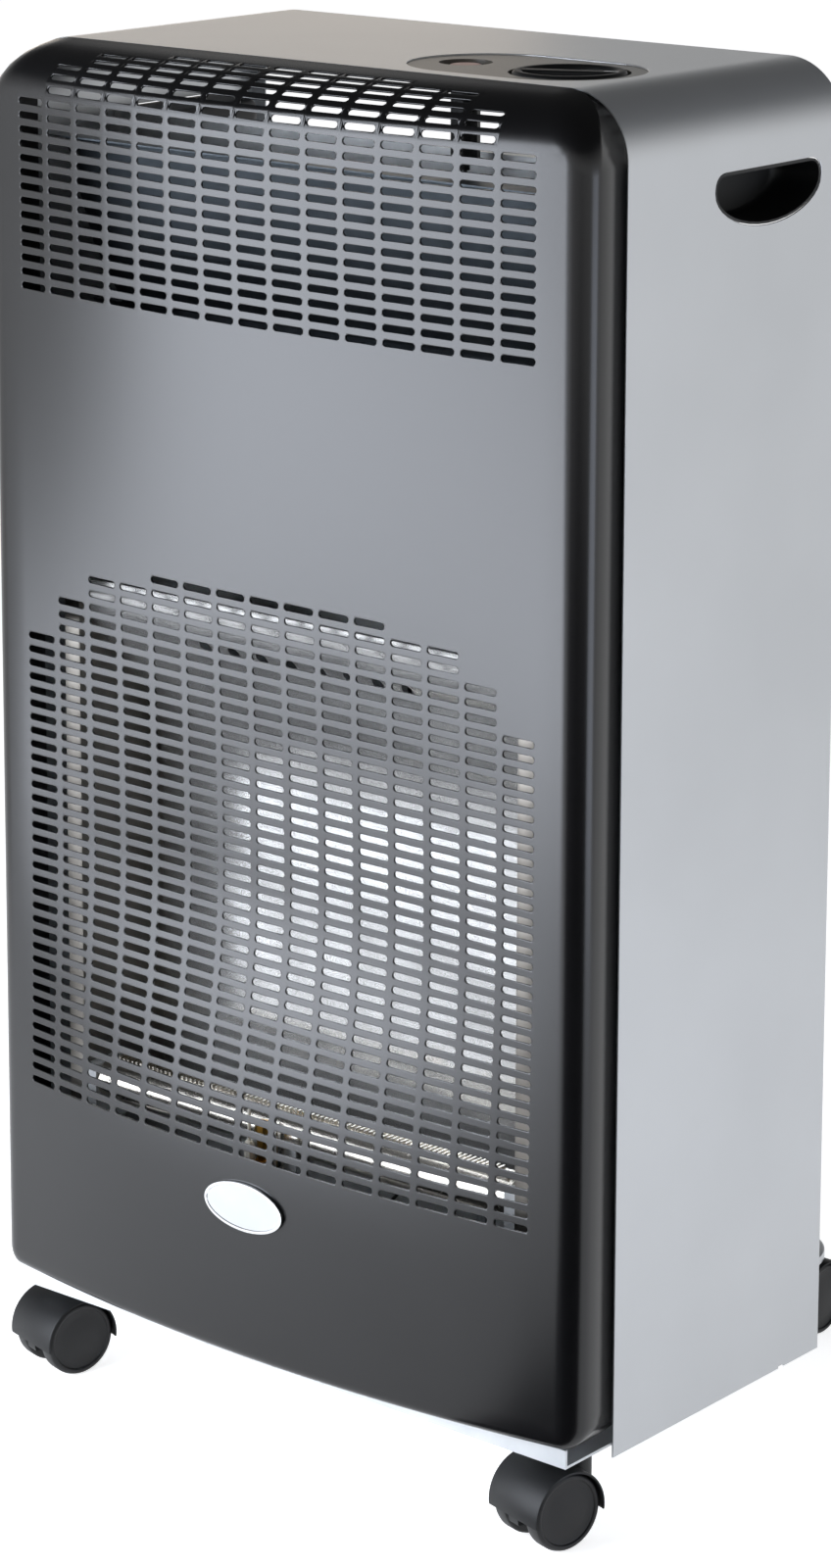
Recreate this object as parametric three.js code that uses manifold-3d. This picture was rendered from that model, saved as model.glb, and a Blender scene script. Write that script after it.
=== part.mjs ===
// A portable gas cabinet heater on four twin-wheel casters: a silver steel cabinet with a black slotted
// front, a blue flame burner in a stainless reflector, a gas tap and spark button under the top, and a
// bottle shelf at the back that folds up. Millimetres, +Z up, +X to the right of someone facing the front,
// +Y towards the back. While the pieces are made, Y = 0 is the plane of the front's edges and Z = 0 the floor.
import * as THREE from 'three';
import { mergeVertices } from 'three/addons/utils/BufferGeometryUtils.js';
import Module from 'manifold-3d';

const wasm = await Module();
wasm.setup();

// ---- Driving dimensions, in millimetres -------------------------------------------------------------

const GAP = 0.3;                 // clearance between pieces that touch
const EASE = 20;                 // how far a cutting solid runs past what it cuts

const CABINET_WIDTH = 420;       // outside of the silver sides
const CABINET_HEIGHT = 722;      // silver side's lower edge to the top
const CABINET_LIFT = 53;         // floor to the silver side's lower edge
const SIDE_DEPTH = 189;          // silver side, front edge to rear edge
const TOP_CORNER = 36;           // outer radius where the top bends into a side
const CASING_SHEET = 1;
const REAR_RETURN = 12;          // flange folded inward round the open back
const SIDE_NOTCH = { from: 144, length: 18, height: 3.5 };

const FRONT_DEPTH = 33;          // front edge plane to the silver's front edge
const FRONT_SHEET = 1;
const FRONT_LAP = 8;             // front panel's flange inside the casing
const FRONT_CLEAR_BELOW = 11;    // front panel's lower edge above the silver side's
const FRONT_BOTTOM_CORNER = 12;
const FRONT_BOTTOM_RETURN = 18;
const SIDE_FILLET = 13;          // edge rounding at the sides
const BOTTOM_FILLET = 6;
const ROLL_RISE = 28;            // height of the roll from the face into the top
const FACE_CORNER = 4;           // corner radius of the face where the roundings start
const LOWER_BULGE = 17;          // how far the face bows forward near the foot
const UPPER_BULGE = 15;          // and at the top
const WAIST_HEIGHT = 283;        // where the face is flat across, above the casing's lower edge
const LOWER_BULGE_HEIGHT = 100;  // where the lower bow is full

const COLUMNS = 15;
const COLUMN_PITCH = (CABINET_WIDTH - 57) / COLUMNS;
const ROW_PITCH = 7.865;
const SLOT_LENGTH = COLUMN_PITCH - 4.4;
const SLOT_HEIGHT = 3.9;
const ROWS_PER_OPENING = 4;      // four rows of fine slots are one opening of the same open area here
const LOWER_GRILLE = { rows: 40, bottom: 130 };
const UPPER_GRILLE = { rows: 20, bottom: 588 };
const ARCH_STARTS = [6, 3, 1, 1, 0, 0, 0, 0]; // first open row of columns 1 to 8; the rest mirror them
const ROLL_ROWS = 6;             // rows of the upper grille that lie on the roll

const BADGE = { width: 56, height: 27, thickness: 1.6, bottom: 87, x: -4.6 };

const BULKHEAD_Y = 104;
const BULKHEAD_TOP = 672;        // above the casing's lower edge
const INNER_SHEET = 1;
const BULKHEAD_FLANGE = 14;

const BASE_FRONT = 5;            // front edge of the base plate
const BASE_WIDTH = CABINET_WIDTH - 20;
const BASE_SHEET = 1.5;
const BASE_FLANGE = 16;
const BASE_BACK = 98;

const REFLECTOR = { width: CABINET_WIDTH - 106, back: 84, front: 16, bottom: 104, bend: 236, top: 424, lip: 10,
  hole: 4, pitch: 20.6, holes: 8, holeRow: 394, sheet: 0.8 };

const BURNER = { radius: 12, length: REFLECTOR.width - 18, y: 30, z: 129, bracket: 26 };
const PILOT_X = -14;

const DEFLECTOR = { width: CABINET_WIDTH - 48, low: 566, high: 668, back: 86, front: 40, sheet: 0.8, lip: 14 };

const BEZEL = { x: CABINET_WIDTH / 2 - 109, y: 89, reach: 23.5, radius: 44.5, flange: 5, sheet: 1.5, sink: 0.6 };
const KNOB = { x: CABINET_WIDTH / 2 - 80, y: 88, radius: 30, height: 11, well: 32, wellDepth: 16, dish: 24,
  bar: 9, dishDepth: 8, proud: 0.6, angle: 26 };
const TAP = { radius: 14, height: 46, plugRadius: 8, plugHeight: 24, spindleRadius: 3.5, drop: 34 };
const BUTTON = { x: CABINET_WIDTH / 2 - 149, y: 88, radius: 9, well: 14.3, wellDepth: 10, sink: 1.5, cap: 3,
  stem: 5.5, reach: 5 };
const IGNITER = { radius: 8, length: 46 };

const HANDLE = { length: 95, height: 31, top: 673.5, centre: 121.5, depth: 30, wall: 1.5, flange: 5, ease: 0.5 };

const SHELF = { width: 268, back: 366, corner: 38, sheet: 1.5, rim: 5, drop: 1.5, hingeY: 112 };
const HINGE_PIN = 3;
const HINGE_WIDTH = 22;
const HINGE_EAR = 3;
const HINGE_SPREAD = 96;         // hinge centres each side of the middle

const WHEEL = { radius: 21.5, width: 14, gap: 10, bore: 3, tyre: 2.5 };
const HOOD = { radius: 23.3, wall: 1, width: 42, below: 3, neck: 9, trail: 19 };
const STEM = { radius: 4, height: 5 };
const AXLE_EASE = 0.3;           // clearance round an axle, halved between the axle and its bores
const FRONT_CASTER = { x: BASE_WIDTH / 2 - 22, y: 42, turn: -14 };
const REAR_CASTER = { x: 112, y: 326, turn: 180 };
const CASTER_PLATE = { size: 36, thickness: 2 };

const GAS_PIPE = 4;
const CAPILLARY = 1.5;
const CLIPS = { high: 300, low: 150 };  // heights of the clips on the bulkhead that hold pipe and leads
const LEAD_X = { pilot: 60, thermocouple: 84, spark: 20 };

// ---- Levels worked out from them --------------------------------------------------------------------

const CASING_TOP = CABINET_LIFT + CABINET_HEIGHT;
const CASING_BACK = FRONT_DEPTH + SIDE_DEPTH;
const HALF_WIDTH = CABINET_WIDTH / 2;
const INNER_HALF = HALF_WIDTH - CASING_SHEET - GAP;
const BASE_Z = CABINET_LIFT + GAP;
const aboveEdge = (height) => CABINET_LIFT + height;

// ---- Materials --------------------------------------------------------------------------------------

const finish = (color, metalness, roughness) => new THREE.MeshStandardMaterial({ color, metalness, roughness });
const silverPaint = finish(0xb9bcc0, 0.5, 0.35);
const blackEnamel = finish(0x2c2d30, 0.35, 0.3);
const zincPlate = finish(0xc9cccf, 0.8, 0.4);
const stainless = finish(0xd5d6d4, 1, 0.18);
const blackPlastic = finish(0x17181a, 0, 0.45);
const greyPlastic = finish(0x3a3a38, 0, 0.5);
const brass = finish(0xb5893c, 1, 0.35);
const castAluminium = finish(0xa7a9aa, 0.9, 0.5);
const steelPipe = finish(0xa9aaa8, 0.9, 0.35);
const ceramic = finish(0xf0ede4, 0, 0.5);
const badgeEnamel = finish(0xf2f2f0, 0, 0.3);
const buttonRed = finish(0x8c2f1c, 0, 0.4);

// ---- Shapes and solids ------------------------------------------------------------------------------

function solidOf(geometry) {
  const bare = geometry.clone();
  bare.deleteAttribute('normal');
  bare.deleteAttribute('uv');
  const merged = mergeVertices(bare, 1e-4);
  return new wasm.Manifold(new wasm.Mesh({
    numProp: 3,
    vertProperties: new Float32Array(merged.attributes.position.array),
    triVerts: new Uint32Array(merged.index.array),
  }));
}

function geometryOf(solid) {
  const mesh = solid.getMesh();
  const geometry = new THREE.BufferGeometry();
  geometry.setAttribute('position', new THREE.BufferAttribute(new Float32Array(mesh.vertProperties), 3));
  geometry.setIndex(new THREE.BufferAttribute(new Uint32Array(mesh.triVerts), 1));
  return geometry;
}

function join(first, ...others) {
  return geometryOf(others.reduce((solid, other) => solid.add(solidOf(other)), solidOf(first)));
}

function cut(body, ...tools) {
  return geometryOf(tools.reduce((solid, tool) => solid.subtract(solidOf(tool)), solidOf(body)));
}

function overlap(body, other) {
  return geometryOf(solidOf(body).intersect(solidOf(other)));
}

// A block from its lowest to its highest corner.
function block([x0, y0, z0], [x1, y1, z1]) {
  return new THREE.BoxGeometry(x1 - x0, y1 - y0, z1 - z0).translate((x0 + x1) / 2, (y0 + y1) / 2, (z0 + z1) / 2);
}

const TURN_TO = {
  x: (geometry) => geometry.rotateZ(-Math.PI / 2),
  y: (geometry) => geometry,
  z: (geometry) => geometry.rotateX(Math.PI / 2),
};

// A round bar of a length, centred on a point, along an axis.
function rod(radius, length, axis, centre, sides = 14) {
  return TURN_TO[axis](new THREE.CylinderGeometry(radius, radius, length, sides)).translate(...centre);
}

// A turned piece: its profile is pairs of radius and distance along the axis.
function turned(profile, axis, origin, sides = 18) {
  const points = profile.map(([radius, along]) => new THREE.Vector2(radius, along));
  return TURN_TO[axis](new THREE.LatheGeometry(points, sides)).translate(...origin);
}

// A plate of a shape; each arc in its outline has twice as many sides as curveSegments.
function extruded(shape, depth, curveSegments = 3) {
  return new THREE.ExtrudeGeometry(shape, { depth, bevelEnabled: false, curveSegments });
}

// A plate whose outline is drawn in X and Y, in X and Z, or in Y and Z.
const plateXY = (shape, z, depth, segments) => extruded(shape, depth, segments).translate(0, 0, z);
const plateXZ = (shape, y, depth, segments) =>
  extruded(shape, depth, segments).rotateX(Math.PI / 2).translate(0, y + depth, 0);
function plateYZ(shape, x, depth, segments) {
  const turn = new THREE.Matrix4().makeBasis(
    new THREE.Vector3(0, 1, 0), new THREE.Vector3(0, 0, 1), new THREE.Vector3(1, 0, 0));
  return extruded(shape, depth, segments).applyMatrix4(turn).translate(x, 0, 0);
}

function polygon(points) {
  return new THREE.Shape(points.map(([u, v]) => new THREE.Vector2(u, v)));
}

// A strip of sheet that follows a bent line, as thick as the sheet, to the left of the line's direction.
function bentStrip(points, thickness) {
  const line = points.map(([u, v]) => new THREE.Vector2(u, v));
  const normals = line.slice(1).map((point, i) => {
    const along = point.clone().sub(line[i]).normalize();
    return new THREE.Vector2(-along.y, along.x);
  });
  const offset = line.map((point, i) => {
    const before = normals[Math.max(i - 1, 0)];
    const after = normals[Math.min(i, normals.length - 1)];
    const mitre = before.clone().add(after);
    return point.clone().addScaledVector(mitre, (2 * thickness) / mitre.lengthSq());
  });
  return new THREE.Shape([...line, ...offset.reverse()]);
}

function roundedBox(width, height, radius, centreX, centreY) {
  const [w, h] = [width / 2 - radius, height / 2 - radius];
  const shape = new THREE.Shape();
  shape.absarc(centreX + w, centreY + h, radius, 0, Math.PI / 2);
  shape.absarc(centreX - w, centreY + h, radius, Math.PI / 2, Math.PI);
  shape.absarc(centreX - w, centreY - h, radius, Math.PI, 1.5 * Math.PI);
  shape.absarc(centreX + w, centreY - h, radius, 1.5 * Math.PI, 2 * Math.PI);
  return shape;
}

function stadium(reach, radius, centreX, centreY) {
  const shape = new THREE.Shape();
  shape.absarc(centreX + reach, centreY, radius, -Math.PI / 2, Math.PI / 2);
  shape.absarc(centreX - reach, centreY, radius, Math.PI / 2, 1.5 * Math.PI);
  return shape;
}

function pipe(points, radius, sides, steps) {
  const path = new THREE.CatmullRomCurve3(points.map((p) => new THREE.Vector3(...p)), false, 'centripetal');
  const section = new THREE.Shape();
  section.absarc(0, 0, radius, 0, 2 * Math.PI);
  return new THREE.ExtrudeGeometry(section, { steps, curveSegments: sides / 2, extrudePath: path });
}

// ---- Silver casing ----------------------------------------------------------------------------------

// The casing's section: an inverted U whose top corners are round.
function casingSection(inset, depthOfWall) {
  const half = HALF_WIDTH - inset;
  const top = CASING_TOP - inset;
  const radius = TOP_CORNER - inset;
  const inner = half - depthOfWall;
  const innerTop = top - depthOfWall;
  const innerRadius = Math.max(radius - depthOfWall, 1);
  const shape = new THREE.Shape();
  shape.moveTo(half, CABINET_LIFT);
  shape.absarc(half - radius, top - radius, radius, 0, Math.PI / 2);
  shape.absarc(-half + radius, top - radius, radius, Math.PI / 2, Math.PI);
  shape.lineTo(-half, CABINET_LIFT);
  shape.lineTo(-inner, CABINET_LIFT);
  shape.absarc(-inner + innerRadius, innerTop - innerRadius, innerRadius, Math.PI, Math.PI / 2, true);
  shape.absarc(inner - innerRadius, innerTop - innerRadius, innerRadius, Math.PI / 2, 0, true);
  shape.lineTo(inner, CABINET_LIFT);
  return shape;
}

// The finger opening: a D lying on its back, flat along the top.
function handleOutline(grow) {
  const half = HANDLE.length / 2 + grow;
  const y = FRONT_DEPTH + HANDLE.centre;
  const top = aboveEdge(HANDLE.top) + grow;
  const low = aboveEdge(HANDLE.top - HANDLE.height) - grow;
  const corner = 10 + grow;
  const shape = new THREE.Shape();
  shape.moveTo(y - half + corner, top);
  shape.quadraticCurveTo(y - half, top, y - half, top - corner);
  shape.bezierCurveTo(y - half, low + corner, y - half * 0.55, low, y, low);
  shape.bezierCurveTo(y + half * 0.55, low, y + half, low + corner, y + half, top - corner);
  shape.quadraticCurveTo(y + half, top, y + half - corner, top);
  return shape;
}

function casing() {
  const wrap = plateXZ(casingSection(0, CASING_SHEET), FRONT_DEPTH, SIDE_DEPTH, 4);
  const rearReturn = plateXZ(casingSection(0, REAR_RETURN), CASING_BACK - CASING_SHEET, CASING_SHEET, 4);
  const shell = join(wrap, rearReturn);
  const notchStart = FRONT_DEPTH + SIDE_NOTCH.from;
  const notches = block([-HALF_WIDTH - EASE, notchStart, CABINET_LIFT - EASE],
    [HALF_WIDTH + EASE, notchStart + SIDE_NOTCH.length, CABINET_LIFT + SIDE_NOTCH.height]);
  const handles = plateYZ(handleOutline(0), -HALF_WIDTH - EASE, CABINET_WIDTH + 2 * EASE, 5);
  const controls = plateXY(stadium(BEZEL.reach, BEZEL.radius, BEZEL.x, BEZEL.y), CASING_TOP - EASE, 2 * EASE, 7);
  return cut(shell, notches, handles, controls);
}

// ---- Black front panel ------------------------------------------------------------------------------

const FACE_HALF = INNER_HALF - SIDE_FILLET;
const PANEL_TOP = CASING_TOP - CASING_SHEET - GAP;
const FACE_TOP = PANEL_TOP - ROLL_RISE;
const PANEL_BOTTOM = aboveEdge(FRONT_CLEAR_BELOW);
const FACE_BOTTOM = PANEL_BOTTOM + BOTTOM_FILLET;
const PANEL_CORNER = TOP_CORNER - CASING_SHEET - GAP;

const RING_POINTS = { edge: 12, corner: 6 };
const EDGE_TURNS = [0, 1 / 3, 2 / 3, 1];

const smooth = (t) => t * t * (3 - 2 * t);

// How far the face bows forward at mid width: full at the foot and the top, nothing at the waist.
function bulge(z) {
  const height = z - CABINET_LIFT;
  if (height < WAIST_HEIGHT) {
    return LOWER_BULGE * smooth(Math.min((WAIST_HEIGHT - height) / (WAIST_HEIGHT - LOWER_BULGE_HEIGHT), 1));
  }
  const rise = FACE_TOP - CABINET_LIFT - WAIST_HEIGHT;
  return UPPER_BULGE * smooth(Math.min((height - WAIST_HEIGHT) / rise, 1));
}

const bowShare = (x) => Math.max(0, 1 - (x / FACE_HALF) ** 2);

// Points of one edge or corner of a ring round the face, without its last point.
function ringEdge(from, to, count) {
  return Array.from({ length: count }, (_, i) => {
    const share = i / count;
    return [from[0] + (to[0] - from[0]) * share, from[1] + (to[1] - from[1]) * share];
  });
}

function ringCorner(centre, radius, start, count) {
  return Array.from({ length: count }, (_, i) => {
    const angle = start + (i / count) * (Math.PI / 2);
    return [centre[0] + radius * Math.cos(angle), centre[1] + radius * Math.sin(angle)];
  });
}

// One closed ring of the panel's rounded edge. turn runs from 0 at the face to 1 where the flange starts;
// inset is 0 on the outer skin and the sheet's thickness on the inner one.
function panelRing(turn, inset, flange) {
  const sine = Math.sin((turn * Math.PI) / 2);
  const back = 1 - Math.cos((turn * Math.PI) / 2);
  const half = FACE_HALF + (SIDE_FILLET - inset) * sine;
  const top = FACE_TOP + (ROLL_RISE - inset) * sine;
  const bottom = FACE_BOTTOM - (BOTTOM_FILLET - inset) * sine;
  const topRadius = FACE_CORNER + (PANEL_CORNER - inset - FACE_CORNER) * sine;
  const bottomRadius = FACE_CORNER + (FRONT_BOTTOM_CORNER - inset - FACE_CORNER) * sine;
  const depthAt = { side: SIDE_FILLET, top: FRONT_DEPTH, bottom: BOTTOM_FILLET };
  const flangeAt = { side: FRONT_DEPTH + FRONT_LAP, top: FRONT_DEPTH + FRONT_LAP, bottom: FRONT_BOTTOM_RETURN };
  const { edge, corner: corners } = RING_POINTS;
  const pieces = [
    [ringEdge([-half + bottomRadius, bottom], [half - bottomRadius, bottom], edge), 'bottom', 'bottom'],
    [ringCorner([half - bottomRadius, bottom + bottomRadius], bottomRadius, -Math.PI / 2, corners), 'bottom', 'side'],
    [ringEdge([half, bottom + bottomRadius], [half, top - topRadius], edge), 'side', 'side'],
    [ringCorner([half - topRadius, top - topRadius], topRadius, 0, corners), 'side', 'top'],
    [ringEdge([half - topRadius, top], [-half + topRadius, top], edge), 'top', 'top'],
    [ringCorner([-half + topRadius, top - topRadius], topRadius, Math.PI / 2, corners), 'top', 'side'],
    [ringEdge([-half, top - topRadius], [-half, bottom + bottomRadius], edge), 'side', 'side'],
    [ringCorner([-half + bottomRadius, bottom + bottomRadius], bottomRadius, Math.PI, corners), 'side', 'bottom'],
  ];
  const ring = [];
  for (const [points, first, last] of pieces) {
    points.forEach(([x, z], i) => {
      const share = Math.sin(((i / points.length) * Math.PI) / 2) ** 2;
      const mix = (values) => values[first] + (values[last] - values[first]) * share;
      const topness = mix({ side: 0, top: 1, bottom: 0 });
      const bow = bulge(z) * bowShare(x) * (1 - topness * back);
      const y = flange ? mix(flangeAt) - bow * (1 - topness) : inset + (mix(depthAt) - inset) * back - bow;
      ring.push([x, y, z]);
    });
  }
  return ring;
}

// One grille's openings on the face or the roll: groups of slot rows under an arched top.
function openings(grille) {
  const list = [];
  for (let column = 0; column < COLUMNS; column += 1) {
    const first = Math.ceil(ARCH_STARTS[Math.min(column, COLUMNS - 1 - column)] / ROWS_PER_OPENING);
    for (let group = first; group < grille.rows / ROWS_PER_OPENING; group += 1) {
      const row = group * ROWS_PER_OPENING + (ROWS_PER_OPENING - 1) / 2;
      const z = aboveEdge(grille.bottom + (grille.rows - 1 - row) * ROW_PITCH);
      list.push({ row, x: (column - (COLUMNS - 1) / 2) * COLUMN_PITCH, z });
    }
  }
  return list;
}

const OPENING_HEIGHT = ROWS_PER_OPENING * SLOT_HEIGHT;
const onRoll = (opening) => opening.row < ROLL_ROWS;
const distinct = (values) => [...new Set(values.map((v) => Number(v.toFixed(4))))].sort((p, q) => p - q);

// Triangles between two lines of points that run the same way, each given as point numbers and positions.
function zip(near, far) {
  const triangles = [];
  let [i, j] = [0, 0];
  while (i < near.length - 1 || j < far.length - 1) {
    const nearNext = i < near.length - 1 ? (i + 1) / (near.length - 1) : Infinity;
    const farNext = j < far.length - 1 ? (j + 1) / (far.length - 1) : Infinity;
    if (nearNext <= farNext) {
      triangles.push(near[i], near[i + 1], far[j]);
      i += 1;
    } else {
      triangles.push(near[i], far[j + 1], far[j]);
      j += 1;
    }
  }
  return triangles;
}

// The front panel as one skin: a gridded face with its openings, the rounded edge and the flange.
function panelShell() {
  const positions = [];
  const triangles = [];
  const addPoints = (points) => {
    const start = positions.length / 3;
    points.forEach((point) => positions.push(...point));
    return start;
  };
  const push = (corners, flip) => {
    for (let i = 0; i < corners.length; i += 3) {
      const [a, b, c] = corners.slice(i, i + 3);
      triangles.push(...(flip ? [a, c, b] : [a, b, c]));
    }
  };
  const quad = (a, b, c, d) => [a, b, c, a, c, d];

  const holes = [...openings(LOWER_GRILLE), ...openings(UPPER_GRILLE).filter((opening) => !onRoll(opening))];
  const [w, h] = [SLOT_LENGTH / 2, OPENING_HEIGHT / 2];
  const xs = distinct(holes.flatMap(({ x }) => [x - w, x + w]));
  const badgeLines = [aboveEdge(BADGE.bottom), aboveEdge(BADGE.bottom + BADGE.height)];
  const zs = distinct([...holes.flatMap(({ z }) => [z - h, z + h]), ...badgeLines]);
  const lineAt = (lines, value) => lines.findIndex((line) => Math.abs(line - value) < 0.01);
  const cell = (x, z) => `${lineAt(xs, x - w)},${lineAt(zs, z - h)}`;
  const open = new Set(holes.map(({ x, z }) => cell(x, z)));

  const skins = [0, FRONT_SHEET].map((inset) => {
    const rings = EDGE_TURNS.map((turn) => panelRing(turn, inset, false));
    rings.push(panelRing(1, inset, true));
    const grid = addPoints(zs.flatMap((z) => xs.map((x) => [x, inset - bulge(z) * bowShare(x), z])));
    return { starts: rings.map(addPoints), grid };
  });
  const count = RING_POINTS.edge * 4 + RING_POINTS.corner * 4;
  const band = (lower, upper, flip) => {
    for (let i = 0; i < count; i += 1) {
      const next = (i + 1) % count;
      push(quad(lower + i, lower + next, upper + next, upper + i), flip);
    }
  };
  // The grid's border and the first ring, side by side: bottom, right, top and left.
  const lastX = xs.length - 1;
  const lastZ = zs.length - 1;
  const along = (n, at) => Array.from({ length: n + 1 }, (_, i) => at(i));
  const borders = (grid) => [
    along(lastX, (i) => grid + i),
    along(lastZ, (i) => grid + lastX + i * xs.length),
    along(lastX, (i) => grid + lastX - i + lastZ * xs.length),
    along(lastZ, (i) => grid + (lastZ - i) * xs.length),
  ];
  const side = RING_POINTS.edge + RING_POINTS.corner;
  const half = RING_POINTS.corner / 2;
  const ringSides = (start) => [0, 1, 2, 3].map((n) => along(side, (i) => start + ((n * side + i - half + count) % count)));

  skins.forEach(({ starts, grid }, inner) => {
    const flip = inner === 1;
    for (let i = 1; i < starts.length; i += 1) band(starts[i - 1], starts[i], !flip);
    borders(grid).forEach((border, n) => push(zip(border, ringSides(starts[0])[n]), !flip));
    for (let row = 0; row < lastZ; row += 1) {
      for (let column = 0; column < lastX; column += 1) {
        const corner = grid + row * xs.length + column;
        if (!open.has(`${column},${row}`)) {
          push(quad(corner, corner + 1, corner + 1 + xs.length, corner + xs.length), flip);
        }
      }
    }
  });
  band(skins[0].starts.at(-1), skins[1].starts.at(-1), true);
  open.forEach((name) => {
    const [column, row] = name.split(',').map(Number);
    const corners = [0, 1, 1 + xs.length, xs.length].map((step) => row * xs.length + column + step);
    corners.forEach((corner, i) => {
      const next = corners[(i + 1) % 4];
      push(quad(skins[0].grid + corner, skins[0].grid + next, skins[1].grid + next, skins[1].grid + corner), false);
    });
  });
  const shell = new THREE.BufferGeometry();
  shell.setAttribute('position', new THREE.Float32BufferAttribute(positions, 3));
  shell.setIndex(triangles);
  return shell;
}

// Cutting blocks for the openings on the roll, each square to the curved sheet.
function rollCutters() {
  const depth = FRONT_DEPTH + UPPER_BULGE;
  return openings(UPPER_GRILLE).filter(onRoll).map(({ x, z }) => {
    const turn = (z - FACE_TOP) / ((ROLL_RISE + depth) / 2);
    const y = FRONT_DEPTH - depth * Math.cos(turn) + UPPER_BULGE * (1 - bowShare(x)) * Math.cos(turn);
    const tool = new THREE.BoxGeometry(SLOT_LENGTH, EASE, OPENING_HEIGHT);
    tool.rotateX(-Math.atan2(depth * Math.sin(turn), ROLL_RISE * Math.cos(turn)));
    return tool.translate(x, y, FACE_TOP + ROLL_RISE * Math.sin(turn));
  });
}

function frontPanel() {
  return cut(panelShell(), ...rollCutters());
}

// A plain oval badge, flat, on the middle of the lower bow.
function badge() {
  const shape = new THREE.Shape();
  const z = aboveEdge(BADGE.bottom) + BADGE.height / 2;
  shape.absellipse(BADGE.x, z, BADGE.width / 2, BADGE.height / 2, 0, 2 * Math.PI);
  const face = -bulge(z) * bowShare(BADGE.x);
  return plateXZ(shape, face - GAP - BADGE.thickness, BADGE.thickness, 12);
}

// ---- Sheet metal inside -----------------------------------------------------------------------------

const HOSE_X = KNOB.x + 28;
const HOSE_Z = CASING_TOP - 72;
const HOSE_HOLE = 11;
const PIPE_Y = REFLECTOR.back + 9;
const PIPE_X = KNOB.x + 36;

function bulkhead() {
  const bottom = BASE_Z + BASE_SHEET + GAP;
  const top = aboveEdge(BULKHEAD_TOP);
  const sheet = block([-INNER_HALF, BULKHEAD_Y, bottom], [INNER_HALF, BULKHEAD_Y + INNER_SHEET, top]);
  const sides = [-1, 1].map((side) => {
    const outer = side * INNER_HALF;
    const inner = side * (INNER_HALF - INNER_SHEET);
    return block([Math.min(outer, inner), BULKHEAD_Y, bottom],
      [Math.max(outer, inner), BULKHEAD_Y + BULKHEAD_FLANGE, top - 40]);
  });
  const topHalf = HALF_WIDTH - HANDLE.depth - 2;
  const stiffener = block([-topHalf, BULKHEAD_Y, top - INNER_SHEET], [topHalf, BULKHEAD_Y + BULKHEAD_FLANGE, top]);
  const footHalf = BASE_WIDTH / 2;
  const foot = block([-footHalf, BULKHEAD_Y - BULKHEAD_FLANGE, bottom],
    [footHalf, BULKHEAD_Y + INNER_SHEET, bottom + INNER_SHEET]);
  const hoseHole = rod(HOSE_HOLE, EASE, 'y', [HOSE_X, BULKHEAD_Y, HOSE_Z]);
  return cut(join(sheet, ...sides, stiffener, foot), hoseHole);
}

// The base plate's front edge stands up under the front panel, and its sides stand up inside the casing.
function basePlate() {
  const half = BASE_WIDTH / 2;
  const flangeFrom = FRONT_DEPTH + FRONT_LAP + 4;
  const back = SHELF.hingeY - 8;
  const floor = plateXY(polygon([[-half, BASE_FRONT], [half, BASE_FRONT], [half, flangeFrom], [INNER_HALF, flangeFrom],
    [INNER_HALF, back], [-INNER_HALF, back], [-INNER_HALF, flangeFrom], [-half, flangeFrom]]), BASE_Z, BASE_SHEET);
  const sides = [-1, 1].map((side) => {
    const outer = side * INNER_HALF;
    const inner = side * (INNER_HALF - BASE_SHEET);
    return block([Math.min(outer, inner), flangeFrom, BASE_Z], [Math.max(outer, inner), BASE_BACK, BASE_Z + BASE_FLANGE]);
  });
  const lip = block([-half, BASE_FRONT, BASE_Z], [half, BASE_FRONT + BASE_SHEET, PANEL_BOTTOM - GAP]);
  const stemHoles = [-1, 1].map((side) => rod(STEM.radius + GAP, EASE, 'z',
    [side * FRONT_CASTER.x, FRONT_CASTER.y, BASE_Z]));
  return cut(join(floor, lip, ...sides), ...stemHoles);
}

// The reflector's profile in Y and Z: upright behind the burner, then leaning forward over the flame.
function reflectorProfile() {
  const { back, front, bottom, bend, top } = REFLECTOR;
  const lean = new THREE.CubicBezierCurve(
    new THREE.Vector2(back, aboveEdge(bend)), new THREE.Vector2(back, aboveEdge(bend + 0.45 * (top - bend))),
    new THREE.Vector2(front + 8, aboveEdge(top - 0.4 * (top - bend))), new THREE.Vector2(front, aboveEdge(top)));
  return [[back, aboveEdge(bottom)], ...lean.getPoints(9).map((p) => [p.x, p.y])];
}

function reflector() {
  const half = REFLECTOR.width / 2;
  const profile = reflectorProfile();
  const into = REFLECTOR.sheet / 2;
  const sheet = plateYZ(bentStrip(profile, REFLECTOR.sheet), into - half, REFLECTOR.width - 2 * into);
  const cheekOutline = polygon([[REFLECTOR.front, aboveEdge(REFLECTOR.bottom)],
    ...profile.map(([y, z]) => [Math.max(y - into, REFLECTOR.front), z])]);
  const cheeks = [-half, half - REFLECTOR.sheet].map((x) => plateYZ(cheekOutline, x, REFLECTOR.sheet));
  const lips = [-1, 1].map((side) => {
    const inner = side * half;
    const outer = side * (half + REFLECTOR.lip);
    return block([Math.min(inner, outer) - 0.2, REFLECTOR.front, aboveEdge(REFLECTOR.bottom)],
      [Math.max(inner, outer) + 0.2, REFLECTOR.front + REFLECTOR.sheet, aboveEdge(REFLECTOR.top)]);
  });
  const holes = Array.from({ length: REFLECTOR.holes }, (_, i) => rod(REFLECTOR.hole, 3 * EASE, 'y',
    [(i - (REFLECTOR.holes - 1) / 2) * REFLECTOR.pitch, REFLECTOR.front + EASE, aboveEdge(REFLECTOR.holeRow)], 10));
  return cut(join(sheet, ...cheeks, ...lips), ...holes);
}

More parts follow.
